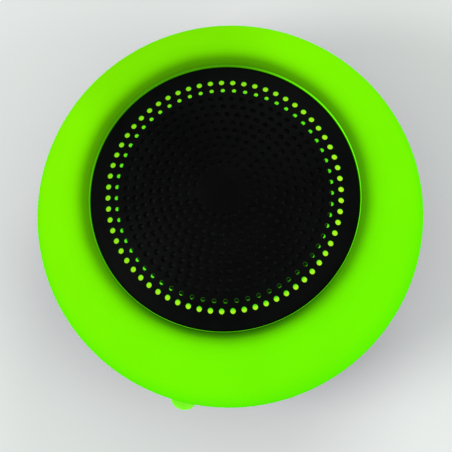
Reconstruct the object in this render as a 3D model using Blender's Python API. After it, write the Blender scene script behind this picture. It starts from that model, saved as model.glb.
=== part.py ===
"""Shower speaker: a glowing ring around a domed grille, on a black tub with a suction cup.

The model stands on its suction cup: Z = 0 is the surface the cup's lip rests on, the Z axis is
the speaker's own axis, and the charging socket faces -Y. Lengths are millimetres in this source
and become metres when a mesh is made. Every sub-part is one closed solid.
"""

import math

import bmesh
import bpy
from mathutils import Matrix, Vector

MM = 0.001

# Driving dimensions
BODY_R = 44.0            # widest radius of the ring
EQUATOR_Z = 31.0         # height of the widest place
LIP_TOP_Z = 51.0         # top of the ring's inner lip
FLOOR_Z = 11.5           # underside of the tub
FLAT_R = 30.0            # radius where the tub's flat underside ends
RIM_Z = 25.8             # top of the tub's outer wall, the parting line
WALL = 2.2               # wall of the tub and of the ring
GAP = 0.3                # gap between neighbouring pieces

# Grille
GRILLE_R = 30.0
GRILLE_TOP_Z = 59.2
GRILLE_SPHERE_R = 52.0
GRILLE_SHEET = 0.8
GRILLE_SKIRT_Z = 48.4
HOLE_ROWS = ((26.0, 65, 0.62), (23.95, 60, 0.46), (18.0, 24, 0.6), (10.0, 14, 0.6))

# Ring
LIP_R = GRILLE_R + GAP
FLANGE_R = 23.5          # inner edge of the flange under the grille
FLANGE_TOP_Z = 48.1
FLANGE_BOTTOM_Z = 46.3

# Suction cup and its stud
CUP_R = 31.0
CUP_LIP_R = 28.4
CUP_HOLLOW = 3.5
NECK_R = 11.0
STUD_R = 4.2
STUD_FLANGE_R = 8.0
STUD_TOP_Z = 15.2

# Tub interior
TUB_FLOOR_Z = 13.5
SOCKET_BOSS_R = 7.5
LEDGE_R = 36.6
LEDGE_Z = 25.6
SPIGOT_IN_R = 38.7
SPIGOT_OUT_R = 40.4
SPIGOT_TOP_Z = 28.2
SEAL_R = 40.35
SEAL_Z = 27.0
SEAL_CORD_R = 0.55

# Boards
BOARD_R = 33.5
BOARD_BOTTOM_Z = 18.8
BOARD_TOP_Z = 20.0
ON_BOARD_Z = BOARD_TOP_Z + GAP
LED_BOARD_R = (31.2, 38.4)
LED_BOARD_Z = (25.9, 26.9)
LED_COUNT = 8
LED_RING_R = 34.8

# Inner core that holds the driver
CORE_R = 25.2
CORE_BORE_R = 23.2
CORE_FLOOR_Z = (22.3, 23.9)
CORE_FLANGE_R = 31.5
CORE_TOP_Z = 45.0
SEAT_R = 18.9
SEAT_Z = 42.6

# Screws
POST_RING_R = 27.4
POST_AZIMUTHS = (35, 145, 215, 325)
DRIVER_SCREW_RING_R = 21.4
DRIVER_SCREW_AZIMUTHS = (45, 135, 225, 315)
HOUSING_SCREW = (2.2, 1.0, 13.3, 11.9, 30.0)      # head and shaft radius, head base, head top, tip
DRIVER_SCREW = (1.3, 0.6, 45.3, 46.2, 38.2)

# Buttons and charging port
BUTTONS = (("button_volume_down", 60), ("button_play", 80),
           ("button_power", 100), ("button_volume_up", 120))
BUTTON_Z = 21.2
BUTTON_HALF = (4.0, 2.0)
PORT_AZIMUTH = 270
PORT_Z = 21.5
PORT_HALF = (5.5, 2.3)
COVER_HALF = (6.75, 3.2)
MIC_AZIMUTH = 300
MIC_Z = 22.3

FINE = 36                # facets round the big turned pieces
MEDIUM = 20
COARSE = 16


def clear_scene():
    for obj in list(bpy.data.objects):
        bpy.data.objects.remove(obj, do_unlink=True)


# ---------------------------------------------------------------- materials

def material(name, colour, roughness, metallic=0.0, emission=0.0):
    mat = bpy.data.materials.new(name)
    mat.use_nodes = True
    shader = mat.node_tree.nodes["Principled BSDF"]
    shader.inputs["Base Color"].default_value = (*colour, 1.0)
    shader.inputs["Roughness"].default_value = roughness
    shader.inputs["Metallic"].default_value = metallic
    shader.inputs["Emission Color"].default_value = (*colour, 1.0)
    shader.inputs["Emission Strength"].default_value = emission
    mat.diffuse_color = (*colour, 1.0)
    return mat


def black_abs():
    return material("black_abs", (0.012, 0.012, 0.013), 0.38)


def white_abs():
    return material("white_abs", (0.72, 0.73, 0.70), 0.5)


def glowing_diffuser():
    return material("diffuser", (0.20, 0.92, 0.0), 0.35, emission=1.0)


def painted_steel():
    return material("grille_paint", (0.010, 0.010, 0.011), 0.42, metallic=0.6)


def acoustic_cloth():
    return material("acoustic_cloth", (0.006, 0.006, 0.007), 0.95)


def black_rubber():
    return material("black_rubber", (0.015, 0.015, 0.016), 0.7)


def clear_rubber():
    return material("cover_silicone", (0.25, 0.62, 0.10), 0.45, emission=0.3)


def cup_rubber():
    return material("cup_rubber", (0.010, 0.010, 0.011), 0.3)


def bare_steel():
    return material("zinc_steel", (0.62, 0.62, 0.64), 0.32, metallic=1.0)


def ferrite():
    return material("ferrite", (0.05, 0.05, 0.055), 0.6)


def paper_cone():
    return material("paper_cone", (0.02, 0.02, 0.02), 0.85)


def board_green():
    return material("board_green", (0.01, 0.16, 0.05), 0.4)


def board_white():
    return material("board_white", (0.80, 0.80, 0.78), 0.45)


def chip_epoxy():
    return material("chip_epoxy", (0.02, 0.02, 0.022), 0.55)


def led_package():
    return material("led_package", (0.55, 0.95, 0.25), 0.3, emission=2.0)


def copper():
    return material("voice_coil_copper", (0.72, 0.32, 0.14), 0.35, metallic=1.0)


def spider_cloth():
    return material("spider_cloth", (0.62, 0.42, 0.12), 0.9)


def cell_foil():
    return material("cell_foil", (0.55, 0.58, 0.62), 0.35, metallic=0.8)


def foam():
    return material("foam", (0.05, 0.05, 0.055), 0.95)


def wire_red():
    return material("wire_red", (0.55, 0.02, 0.02), 0.4)


def wire_black():
    return material("wire_black", (0.02, 0.02, 0.02), 0.4)


# ---------------------------------------------------------------- geometry tools

def rotation(azimuth):
    return Matrix.Rotation(math.radians(azimuth), 4, "Z")


def arc(centre_r, centre_z, radius, start, end, steps):
    """Points of a circular arc in the (r, z) half plane, angles in degrees from +r."""
    points = []
    for i in range(steps + 1):
        angle = math.radians(start + (end - start) * i / steps)
        points.append((centre_r + radius * math.cos(angle), centre_z + radius * math.sin(angle)))
    return points


def swell(share, power):
    """Fraction of the radius left at a share of the height of a superellipse."""
    return (1.0 - min(1.0, abs(share)) ** power) ** (1.0 / power)


def outer_radius(z, offset=0.0):
    """Radius of the speaker's outer skin at height z, moved out by offset."""
    if z >= EQUATOR_Z:
        share = (z - EQUATOR_Z) / (LIP_TOP_Z - EQUATOR_Z + offset)
        return LIP_R + (BODY_R - LIP_R + offset) * swell(share, 1.8)
    share = (EQUATOR_Z - z) / (EQUATOR_Z - FLOOR_Z + offset)
    return FLAT_R + (BODY_R - FLAT_R + offset) * swell(share, 1.9)


def skin(z_from, z_to, steps, offset=0.0):
    """Points along the outer skin at even steps of height."""
    points = []
    for i in range(steps + 1):
        z = z_from + (z_to - z_from) * i / steps
        points.append((outer_radius(z, offset), z))
    return points


def rounded_top(z_low, steps, offset=0.0):
    """The ring's skin from its lip down to z_low, with even steps along the curve."""
    height = LIP_TOP_Z - EQUATOR_Z + offset
    low = math.degrees(math.asin((z_low - EQUATOR_Z) / height))
    points = []
    for i in range(steps + 1):
        angle = math.radians(90.0 + (low - 90.0) * i / steps)
        z = EQUATOR_Z + height * math.sin(angle)
        points.append((outer_radius(z, offset), z))
    return points


def turned_mesh(profile, facets):
    """Spin an outline of (r, z) points round the Z axis into a closed solid."""
    bm = bmesh.new()
    rings = []
    for r, z in profile:
        if r < 1e-6:
            rings.append([bm.verts.new((0.0, 0.0, z * MM))])
            continue
        ring = []
        for i in range(facets):
            angle = 2.0 * math.pi * i / facets
            ring.append(bm.verts.new((r * math.cos(angle) * MM, r * math.sin(angle) * MM, z * MM)))
        rings.append(ring)
    pairs = list(zip(rings, rings[1:]))
    if len(rings[0]) > 1:
        pairs.append((rings[-1], rings[0]))
    for lower, upper in pairs:
        join_rings(bm, lower, upper)
    return bm


def join_rings(bm, first, second):
    """Faces between two rings of vertices, either of which may be a single point."""
    count = max(len(first), len(second))
    if count == 1:
        return
    for i in range(count):
        corners = []
        for vert in (first[i % len(first)], first[(i + 1) % len(first)],
                     second[(i + 1) % len(second)], second[i % len(second)]):
            if vert not in corners:
                corners.append(vert)
        bm.faces.new(corners)


def loft_mesh(rings):
    """Closed solid through rings of (x, y, z) points in millimetres, flat at both ends."""
    bm = bmesh.new()
    loops = []
    for ring in rings:
        loops.append([bm.verts.new(Vector(point) * MM) for point in ring])
    for first, second in zip(loops, loops[1:]):
        join_rings(bm, first, second)
    for end in (loops[0], loops[-1]):
        if len(end) > 2:
            bm.faces.new(end)
    return bm


def merge_into(target, source):
    """Copy the faces of one bmesh into another and free the first."""
    lookup = {vert: target.verts.new(vert.co) for vert in source.verts}
    for face in source.faces:
        target.faces.new([lookup[vert] for vert in face.verts])
    source.free()


def box_mesh(size, centre, bevel=0.0):
    bm = bmesh.new()
    bmesh.ops.create_cube(bm, size=1.0)
    bmesh.ops.scale(bm, vec=Vector(size) * MM, verts=bm.verts)
    if bevel:
        bmesh.ops.bevel(bm, geom=bm.edges[:], offset=bevel * MM, segments=1, affect="EDGES")
    bmesh.ops.translate(bm, vec=Vector(centre) * MM, verts=bm.verts)
    return bm


def rod_mesh(radius, start, end, facets=12):
    """Cylinder between two points given in millimetres."""
    start = Vector(start)
    end = Vector(end)
    turn = (end - start).to_track_quat("Z", "Y")
    rings = []
    for point in (start, end):
        ring = []
        for i in range(facets):
            angle = 2.0 * math.pi * i / facets
            ring.append(point + turn @ Vector((radius * math.cos(angle), radius * math.sin(angle), 0)))
        rings.append(ring)
    return loft_mesh(rings)


def place(bm, azimuth):
    """Turn a mesh made along +X to its azimuth round the speaker's axis."""
    bmesh.ops.transform(bm, matrix=rotation(azimuth), verts=bm.verts)
    return bm


def at_azimuth(radius, azimuth, z):
    angle = math.radians(azimuth)
    return (radius * math.cos(angle), radius * math.sin(angle), z)


def make_object(name, bm, mat):
    bmesh.ops.recalc_face_normals(bm, faces=bm.faces)
    mesh = bpy.data.meshes.new(name)
    bm.to_mesh(mesh)
    bm.free()
    mesh.shade_smooth()
    mesh.set_sharp_from_angle(angle=math.radians(35))
    obj = bpy.data.objects.new(name, mesh)
    bpy.context.scene.collection.objects.link(obj)
    if mat:
        obj.data.materials.append(mat)
    return obj


def turned(name, profile, mat, facets=FINE):
    return make_object(name, turned_mesh(profile, facets), mat)


def tool(name, bm):
    """A solid that only cuts or adds to another."""
    obj = make_object(name, bm, None)
    obj.hide_render = True
    obj.display_type = "WIRE"
    return obj


def combine(obj, tool_obj, operation):
    modifier = obj.modifiers.new(tool_obj.name, "BOOLEAN")
    modifier.operation = operation
    modifier.solver = "EXACT"
    modifier.object = tool_obj


def set_origin(obj, point):
    """Put the object's origin at a point in millimetres without moving its shape."""
    point = Vector(point) * MM
    obj.data.transform(Matrix.Translation(-point))
    obj.location = point


def pill(half_width, half_height, steps=5):
    """Stadium outline as (y, z) pairs round its centre."""
    straight = half_width - half_height
    points = []
    for side, start in ((1, -90), (-1, 90)):
        for i in range(steps + 1):
            angle = math.radians(start + 180.0 * i / steps)
            points.append((side * straight + half_height * math.cos(angle),
                           half_height * math.sin(angle)))
    return points


def flat_ring(outline, x, mid_z):
    return [(x, y, mid_z + z) for y, z in outline]


def skin_ring(outline, offset, mid_z):
    """An outline laid on the outer skin at azimuth 0, moved out by offset."""
    ring = []
    for y, z in outline:
        radius = outer_radius(mid_z + z) + offset
        ring.append((math.sqrt(radius * radius - y * y), y, mid_z + z))
    return ring


# ---------------------------------------------------------------- outer pieces

def build_suction_cup(mat):
    hollow = []
    for i in range(5):
        r = CUP_LIP_R * (1.0 - i / 4.0)
        hollow.append((r, CUP_HOLLOW * (1.0 - (r / CUP_LIP_R) ** 2)))
    pocket_r = STUD_FLANGE_R + GAP
    bore_r = STUD_R + GAP
    neck_top = FLOOR_Z - GAP
    profile = [(0.0, 6.4), (pocket_r, 6.4), (pocket_r, 8.8), (bore_r, 8.8), (bore_r, neck_top)]
    profile += [(NECK_R, neck_top), (NECK_R, 9.4), (12.4, 8.1), (17.0, 6.5), (24.0, 4.1),
                (30.0, 1.7), (CUP_R + 0.3, 0.9), (CUP_R, 0.0)]
    return turned("suction_cup", profile + hollow, mat)


def build_cup_stud(mat):
    profile = [(0.0, 6.7), (STUD_FLANGE_R, 6.7), (STUD_FLANGE_R, 8.5), (STUD_R, 8.5),
               (STUD_R, 12.4), (STUD_R - 0.6, 12.7), (STUD_R - 0.6, 13.5), (STUD_R, 13.8),
               (STUD_R, 14.6), (STUD_R - 0.6, STUD_TOP_Z), (0.0, STUD_TOP_Z)]
    return turned("cup_stud", profile, mat, COARSE)


def tub_profile():
    """Outline of the tub, from the stud socket's ceiling round to the boss's top."""
    groove_r = SEAL_R - SEAL_CORD_R - GAP
    groove_z = (SEAL_Z - SEAL_CORD_R - GAP, SEAL_Z + SEAL_CORD_R + GAP)
    profile = [(0.0, STUD_TOP_Z + GAP), (STUD_R + GAP, STUD_TOP_Z + GAP),
               (STUD_R + GAP, FLOOR_Z), (FLAT_R - 0.5, FLOOR_Z)]
    profile += [(outer_radius(z), z) for z in (11.8, 12.8, 14.6, 17.0, 20.0, 23.0, RIM_Z)]
    profile += [(SPIGOT_OUT_R, RIM_Z), (SPIGOT_OUT_R, groove_z[0]), (groove_r, groove_z[0]),
                (groove_r, groove_z[1]), (SPIGOT_OUT_R, groove_z[1]),
                (SPIGOT_OUT_R, SPIGOT_TOP_Z), (SPIGOT_IN_R, SPIGOT_TOP_Z),
                (SPIGOT_IN_R, LEDGE_Z), (LEDGE_R, LEDGE_Z), (LEDGE_R, 24.3)]
    for z in (23.7, 20.5, 17.2, 14.9, TUB_FLOOR_Z):
        profile.append((inner_tub_radius(z), z))
    profile += [(SOCKET_BOSS_R, TUB_FLOOR_Z), (SOCKET_BOSS_R, 16.8), (0.0, 16.8)]
    return profile


def inner_tub_radius(z):
    share = (EQUATOR_Z - z) / (EQUATOR_Z - TUB_FLOOR_Z + 0.25)
    return FLAT_R - 1.0 + (BODY_R - WALL - FLAT_R + 1.0) * swell(share, 1.9)


def build_lower_housing(mat):
    housing = turned("lower_housing", tub_profile(), mat)

    posts = bmesh.new()
    for azimuth in POST_AZIMUTHS:
        merge_into(posts, rod_mesh(3.0, at_azimuth(POST_RING_R, azimuth, TUB_FLOOR_Z - 1.0),
                                   at_azimuth(POST_RING_R, azimuth, BOARD_BOTTOM_Z - GAP)))
    combine(housing, tool("housing_posts_tool", posts), "UNION")

    bores = bmesh.new()
    for azimuth in POST_AZIMUTHS:
        merge_into(bores, stepped_bore(azimuth))
    combine(housing, tool("housing_bores_tool", bores), "DIFFERENCE")

    openings = bmesh.new()
    clear = GAP + 0.05
    for _, azimuth in BUTTONS:
        outline = pill(BUTTON_HALF[0] + clear, BUTTON_HALF[1] + clear)
        merge_into(openings, place(loft_mesh([flat_ring(outline, 38.0, BUTTON_Z),
                                              flat_ring(outline, 46.0, BUTTON_Z)]), azimuth))
    merge_into(openings, place(port_cutter(), PORT_AZIMUTH))
    merge_into(openings, rod_mesh(0.6, at_azimuth(37.0, MIC_AZIMUTH, MIC_Z),
                                  at_azimuth(46.0, MIC_AZIMUTH, MIC_Z), 8))
    combine(housing, tool("housing_openings_tool", openings), "DIFFERENCE")
    return housing


def stepped_bore(azimuth):
    """Clearance bore with a counterbore for the screw's head, open below."""
    profile = [(0.0, FLOOR_Z - 1.0), (2.5, FLOOR_Z - 1.0), (2.5, 13.6), (1.4, 13.6),
               (1.4, BOARD_BOTTOM_Z + 1.0), (0.0, BOARD_BOTTOM_Z + 1.0)]
    bm = turned_mesh(profile, 12)
    shift = Vector(at_azimuth(POST_RING_R, azimuth, 0.0)) * MM
    bmesh.ops.translate(bm, vec=shift, verts=bm.verts)
    return bm


def port_cutter():
    """Opening for the plug, with a shallow recess round it for the cover's plate."""
    opening = pill(*PORT_HALF)
    recess = pill(COVER_HALF[0] + GAP, COVER_HALF[1] + GAP)
    return loft_mesh([flat_ring(opening, 37.0, PORT_Z), skin_ring(opening, -1.0, PORT_Z),
                      skin_ring(recess, -1.0, PORT_Z), flat_ring(recess, 47.0, PORT_Z)])


def build_housing_seal(mat):
    return turned("housing_seal", arc(SEAL_R, SEAL_Z, SEAL_CORD_R, 0, 300, 5), mat)


def build_diffuser_ring(mat):
    base_z = RIM_Z + GAP
    outer = [(LIP_R, LIP_TOP_Z - 0.15)] + rounded_top(EQUATOR_Z, 8)[1:]
    outer += skin(29.4, base_z, 2)
    inner = [(SEAL_R + SEAL_CORD_R + GAP, base_z), (SEAL_R + SEAL_CORD_R + GAP, 28.6)]
    inner += list(reversed(rounded_top(EQUATOR_Z, 5, -WALL)))[:-1]
    under = [(CORE_FLANGE_R, FLANGE_BOTTOM_Z), (FLANGE_R, FLANGE_BOTTOM_Z),
             (FLANGE_R, FLANGE_TOP_Z), (LIP_R, FLANGE_TOP_Z)]
    inner = [point for point in inner if point[0] > CORE_FLANGE_R + 0.5]
    return turned("diffuser_ring", outer + inner + under, mat)


def sphere_z(sphere_r, r):
    """Height of the grille's sphere, or of one inside it, at radius r."""
    centre = GRILLE_TOP_Z - GRILLE_SPHERE_R
    return centre + math.sqrt(sphere_r * sphere_r - r * r)


def build_front_grille(mat):
    inside_r = GRILLE_SPHERE_R - GRILLE_SHEET
    breaks = (11.0, 17.0, 22.0, 25.0, 27.2, 28.8)
    profile = [(0.0, GRILLE_TOP_Z)]
    profile += [(r, sphere_z(GRILLE_SPHERE_R, r)) for r in breaks]
    profile += [(29.6, 50.05), (GRILLE_R, 49.3), (GRILLE_R, GRILLE_SKIRT_Z),
                (GRILLE_R - GRILLE_SHEET, GRILLE_SKIRT_Z), (GRILLE_R - GRILLE_SHEET, 49.0)]
    profile += [(r, sphere_z(inside_r, r)) for r in reversed(breaks[:-1])]
    profile += [(0.0, sphere_z(inside_r, 0.0))]
    grille = turned("front_grille", profile, mat)

    holes = bmesh.new()
    for radius, count, hole_r in HOLE_ROWS:
        for i in range(count):
            azimuth = 360.0 * i / count
            merge_into(holes, rod_mesh(hole_r, at_azimuth(radius, azimuth, 46.0),
                                       at_azimuth(radius, azimuth, 62.0), 4))
    combine(grille, tool("grille_holes_tool", holes), "DIFFERENCE")
    return grille


def build_grille_mesh(mat):
    outside = GRILLE_SPHERE_R - GRILLE_SHEET - GAP
    inside = outside - 0.4
    radii = (6.0, 12.0, 18.0, 23.4)
    profile = [(0.0, sphere_z(outside, 0.0))] + [(r, sphere_z(outside, r)) for r in radii]
    profile += [(r, sphere_z(inside, r)) for r in reversed(radii)]
    profile += [(0.0, sphere_z(inside, 0.0))]
    return turned("grille_mesh", profile, mat, MEDIUM)


def build_button(name, azimuth, mat):
    """Rubber key: plunger stem, sealing flange inside the wall, and a pillowed cap."""
    half_w, half_h = BUTTON_HALF
    rings = [flat_ring(pill(1.4, 1.2), 35.2, BUTTON_Z),
             flat_ring(pill(1.4, 1.2), 36.7, BUTTON_Z),
             flat_ring(pill(half_w + 1.1, half_h + 0.4), 36.7, BUTTON_Z),
             flat_ring(pill(half_w + 1.1, half_h + 0.4), 37.4, BUTTON_Z),
             flat_ring(pill(half_w, half_h), 37.4, BUTTON_Z),
             skin_ring(pill(half_w, half_h), 0.3, BUTTON_Z),
             skin_ring(pill(half_w - 0.35, half_h - 0.35), 0.6, BUTTON_Z),
             skin_ring(pill(half_w - 1.6, half_h - 1.2), 0.7, BUTTON_Z)]
    button = make_object(name, place(loft_mesh(rings), azimuth), mat)
    set_origin(button, at_azimuth(outer_radius(BUTTON_Z), azimuth, BUTTON_Z))
    return button


def build_port_cover(mat):
    """Flap with a plug that fills the opening and a tab for a fingernail at its top."""
    half_w, half_h = COVER_HALF
    plug = pill(PORT_HALF[0] - GAP, PORT_HALF[1] - GAP)
    rings = [skin_ring(pill(PORT_HALF[0] - 0.6, PORT_HALF[1] - 0.6), -1.9, PORT_Z),
             skin_ring(plug, -1.5, PORT_Z),
             skin_ring(plug, -0.7, PORT_Z),
             skin_ring(pill(half_w, half_h), -0.7, PORT_Z),
             skin_ring(pill(half_w, half_h), -0.15, PORT_Z),
             skin_ring(pill(half_w - 0.3, half_h - 0.3), 0.1, PORT_Z),
             skin_ring(pill(half_w - 2.5, half_h - 2.0), 0.1, PORT_Z)]
    cover = make_object("port_cover", place(loft_mesh(rings), PORT_AZIMUTH), mat)
    combine(cover, tool("cover_tab_tool", place(tab_mesh(), PORT_AZIMUTH)), "UNION")
    set_origin(cover, hinge_point())
    return cover


def tab_mesh():
    """Half-oval tab that stands out of the plate's upper edge."""
    root = outer_radius(PORT_Z + 2.4) - 0.4
    rings = []
    for z, share in ((1.7, 0.80), (2.0, 1.0), (2.8, 1.0), (3.1, 0.80)):
        ring = []
        for i in range(11):
            angle = math.radians(-90.0 + 18.0 * i)
            ring.append((root + 2.5 * share * math.cos(angle), 2.6 * share * math.sin(angle),
                         PORT_Z + z))
        rings.append(ring)
    return loft_mesh(rings)


def hinge_point():
    """Where the cover's living hinge bends, on the skin just below its plate."""
    z = PORT_Z - COVER_HALF[1] - 0.4
    return at_azimuth(outer_radius(z) + 0.2, PORT_AZIMUTH, z)


# ---------------------------------------------------------------- inner structure

def build_inner_core(mat):
    profile = [(0.0, CORE_FLOOR_Z[0]), (CORE_R, CORE_FLOOR_Z[0]), (CORE_R, 41.8), (26.4, 43.4),
               (CORE_FLANGE_R, 43.4), (CORE_FLANGE_R, CORE_TOP_Z), (CORE_BORE_R, CORE_TOP_Z),
               (CORE_BORE_R, SEAT_Z), (SEAT_R, SEAT_Z), (SEAT_R, 41.2), (CORE_BORE_R, 40.2),
               (CORE_BORE_R, CORE_FLOOR_Z[1]), (0.0, CORE_FLOOR_Z[1])]
    core = turned("inner_core", profile, mat)

    bosses = bmesh.new()
    for azimuth in POST_AZIMUTHS:
        merge_into(bosses, rod_mesh(3.0, at_azimuth(POST_RING_R, azimuth, ON_BOARD_Z),
                                    at_azimuth(POST_RING_R, azimuth, 34.0)))
    for azimuth in DRIVER_SCREW_AZIMUTHS:
        merge_into(bosses, rod_mesh(1.7, at_azimuth(DRIVER_SCREW_RING_R, azimuth, 36.5),
                                    at_azimuth(DRIVER_SCREW_RING_R, azimuth, 41.9), 10))
    combine(core, tool("core_bosses_tool", bosses), "UNION")

    bores = bmesh.new()
    for azimuth in POST_AZIMUTHS:
        merge_into(bores, rod_mesh(1.3, at_azimuth(POST_RING_R, azimuth, 19.0),
                                   at_azimuth(POST_RING_R, azimuth, 31.0), 10))
    for azimuth in DRIVER_SCREW_AZIMUTHS:
        merge_into(bores, rod_mesh(0.9, at_azimuth(DRIVER_SCREW_RING_R, azimuth, 37.4),
                                   at_azimuth(DRIVER_SCREW_RING_R, azimuth, 44.0), 8))
    for side in (-1, 1):
        x, y, _ = speaker_lead_foot(side)
        merge_into(bores, rod_mesh(0.95, (x, y, 21.0), (x, y, 25.0), 8))
    combine(core, tool("core_bores_tool", bores), "DIFFERENCE")
    return core


def flat_washer(name, inner_r, outer_r, low_z, high_z, mat, facets=FINE):
    profile = [(inner_r, low_z), (outer_r, low_z), (outer_r, high_z), (inner_r, high_z)]
    return turned(name, profile, mat, facets)


def build_screw(name, radius, azimuth, shape, mat):
    """Screw along Z. shape gives head radius, shaft radius, head base, head top, tip."""
    head_r, shaft_r, base_z, top_z, tip_z = shape
    profile = [(0.0, top_z), (head_r * 0.8, top_z), (head_r, top_z + (base_z - top_z) * 0.4),
               (head_r, base_z), (shaft_r, base_z), (shaft_r, tip_z), (0.0, tip_z)]
    screw = turned(name, profile, mat, 12)
    screw.location = Vector(at_azimuth(radius, azimuth, 0.0)) * MM
    return screw


def build_screws(mat):
    for i, azimuth in enumerate(POST_AZIMUTHS, 1):
        build_screw("housing_screw_%d" % i, POST_RING_R, azimuth, HOUSING_SCREW, mat)
    for i, azimuth in enumerate(DRIVER_SCREW_AZIMUTHS, 1):
        build_screw("driver_screw_%d" % i, DRIVER_SCREW_RING_R, azimuth, DRIVER_SCREW, mat)


# ---------------------------------------------------------------- electronics

def build_main_board(mat):
    board = turned("main_board", [(0.0, BOARD_BOTTOM_Z), (BOARD_R, BOARD_BOTTOM_Z),
                                  (BOARD_R, BOARD_TOP_Z), (0.0, BOARD_TOP_Z)], mat)
    holes = bmesh.new()
    for azimuth in POST_AZIMUTHS:
        merge_into(holes, rod_mesh(1.4, at_azimuth(POST_RING_R, azimuth, 17.0),
                                   at_azimuth(POST_RING_R, azimuth, 22.0), 10))
    combine(board, tool("board_holes_tool", holes), "DIFFERENCE")
    return board


def build_chips(mat):
    make_object("bluetooth_chip", box_mesh((7.0, 7.0, 0.9), (-8.0, -6.0, 20.75), 0.1), mat)
    make_object("amplifier_chip", box_mesh((5.0, 4.0, 1.1), (9.0, -4.0, 20.85), 0.1), mat)


def build_usb_socket(mat):
    """Metal shell with its mouth open towards the port."""
    outer = pill(4.5, 1.6)
    inner = pill(4.1, 1.2)
    mid_z = ON_BOARD_Z + 1.6
    rings = [flat_ring(outer, 27.0, mid_z), flat_ring(outer, 34.4, mid_z),
             flat_ring(inner, 34.4, mid_z), flat_ring(inner, 28.2, mid_z)]
    return make_object("usb_socket", place(loft_mesh(rings), PORT_AZIMUTH), mat)


def build_microphone(mat):
    start = at_azimuth(31.4, MIC_AZIMUTH, MIC_Z)
    end = at_azimuth(33.4, MIC_AZIMUTH, MIC_Z)
    return make_object("microphone", rod_mesh(1.9, start, end, 14), mat)


def build_tact_switches(mat):
    for i, (_, azimuth) in enumerate(BUTTONS, 1):
        body = box_mesh((3.6, 6.0, 3.0), (31.2, 0.0, ON_BOARD_Z + 1.5), 0.15)
        switch = make_object("tact_switch_%d" % i, place(body, azimuth), mat)
        plunger = rod_mesh(0.8, (32.6, 0.0, BUTTON_Z + 0.3), (34.6, 0.0, BUTTON_Z + 0.3), 8)
        combine(switch, tool("plunger_tool_%d" % i, place(plunger, azimuth)), "UNION")


def build_led_board(mat):
    return flat_washer("led_board", *LED_BOARD_R, *LED_BOARD_Z, mat)


def build_leds(mat):
    low = LED_BOARD_Z[1] + GAP
    for i in range(LED_COUNT):
        azimuth = 360.0 * (i + 0.5) / LED_COUNT
        body = box_mesh((5.0, 5.0, 1.6), (LED_RING_R, 0.0, low + 0.8), 0.2)
        make_object("led_%d" % (i + 1), place(body, azimuth), mat)


def build_battery(foil, pad):
    make_object("battery", box_mesh((32.0, 19.0, 3.7), (0.0, 19.1, 16.55), 0.7), foil)
    make_object("battery_foam", box_mesh((26.0, 15.0, 0.6), (0.0, 17.5, 14.1)), pad)


# ---------------------------------------------------------------- driver

def build_driver_basket(mat):
    profile = [(22.9, CORE_TOP_Z), (22.9, 43.7), (18.6, 43.7), (18.3, 42.4), (13.6, 36.2),
               (13.6, 33.0), (8.6, 33.0), (8.6, 34.0), (11.3, 34.0), (11.3, 36.4), (12.6, 36.4),
               (17.2, 42.7), (17.3, CORE_TOP_Z)]
    basket = turned("driver_basket", profile, mat, MEDIUM)
    cuts = bmesh.new()
    for quarter in range(4):
        merge_into(cuts, place(box_mesh((14.0, 11.0, 4.6), (18.0, 0.0, 39.6)), 90.0 * quarter))
    for azimuth in DRIVER_SCREW_AZIMUTHS:
        merge_into(cuts, rod_mesh(0.9, at_azimuth(DRIVER_SCREW_RING_R, azimuth, 43.0),
                                  at_azimuth(DRIVER_SCREW_RING_R, azimuth, 46.0), 8))
    combine(basket, tool("basket_cuts_tool", cuts), "DIFFERENCE")
    return basket


def build_driver_gasket(mat):
    gasket = flat_washer("driver_gasket", 19.2, 22.8, 42.9, 43.4, mat, MEDIUM)
    holes = bmesh.new()
    for azimuth in DRIVER_SCREW_AZIMUTHS:
        merge_into(holes, rod_mesh(0.9, at_azimuth(DRIVER_SCREW_RING_R, azimuth, 42.0),
                                   at_azimuth(DRIVER_SCREW_RING_R, azimuth, 44.0), 8))
    combine(gasket, tool("gasket_holes_tool", holes), "DIFFERENCE")
    return gasket


def build_magnet_system(steel, dark):
    flat_washer("top_plate", 5.6, 12.2, 30.4, 32.7, steel, MEDIUM)
    flat_washer("magnet", 6.8, 13.6, 26.6, 30.1, dark, MEDIUM)
    yoke = [(0.0, 33.2), (3.7, 33.2), (4.1, 32.8), (4.1, 26.3), (12.2, 26.3), (12.4, 26.1),
            (12.4, 24.6), (0.0, 24.6)]
    turned("yoke", yoke, steel, MEDIUM)


def build_cone(mat):
    profile = [(5.4, 37.9), (5.7, 37.9), (15.0, 44.1), (15.9, 44.3), (15.9, 44.8), (14.9, 44.7),
               (5.4, 38.4)]
    return turned("cone", profile, mat, MEDIUM)


def build_dust_cap(mat):
    outside = [(6.2 * math.cos(a), 39.5 + 2.2 * math.sin(a))
               for a in (math.radians(24.0 * i) for i in range(4))]
    inside = [(5.7 * math.cos(a), 39.5 + 1.7 * math.sin(a))
              for a in (math.radians(72.0 - 24.0 * i) for i in range(4))]
    return turned("dust_cap", outside + [(0.0, 41.7), (0.0, 41.2)] + inside, mat, COARSE)


def build_voice_coil(mat):
    return flat_washer("voice_coil", 4.5, 5.1, 28.6, 38.6, mat, MEDIUM)


def build_surround(mat):
    """Half-roll of rubber between the cone's edge and the basket."""
    over = arc(17.3, 45.7, 1.6, 180, 0, 5)
    under = arc(17.3, 45.7, 1.15, 0, 180, 4)
    profile = [(14.8, 45.7)] + over + [(19.9, 45.7), (19.9, 45.3), (under[0][0], 45.3)]
    profile += under[1:-1] + [(under[-1][0], 45.3), (14.8, 45.3)]
    return turned("surround", profile, mat, MEDIUM)


def build_spider(mat):
    """Corrugated disc that centres the voice coil."""
    over = []
    under = []
    for i in range(8):
        r = 5.4 + i
        z = 37.1 + (0.25 if i % 2 else -0.05)
        over.append((r, z))
        under.append((r, z - 0.3))
    return turned("spider", over + list(reversed(under)), mat, MEDIUM)


# ---------------------------------------------------------------- leads

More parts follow.
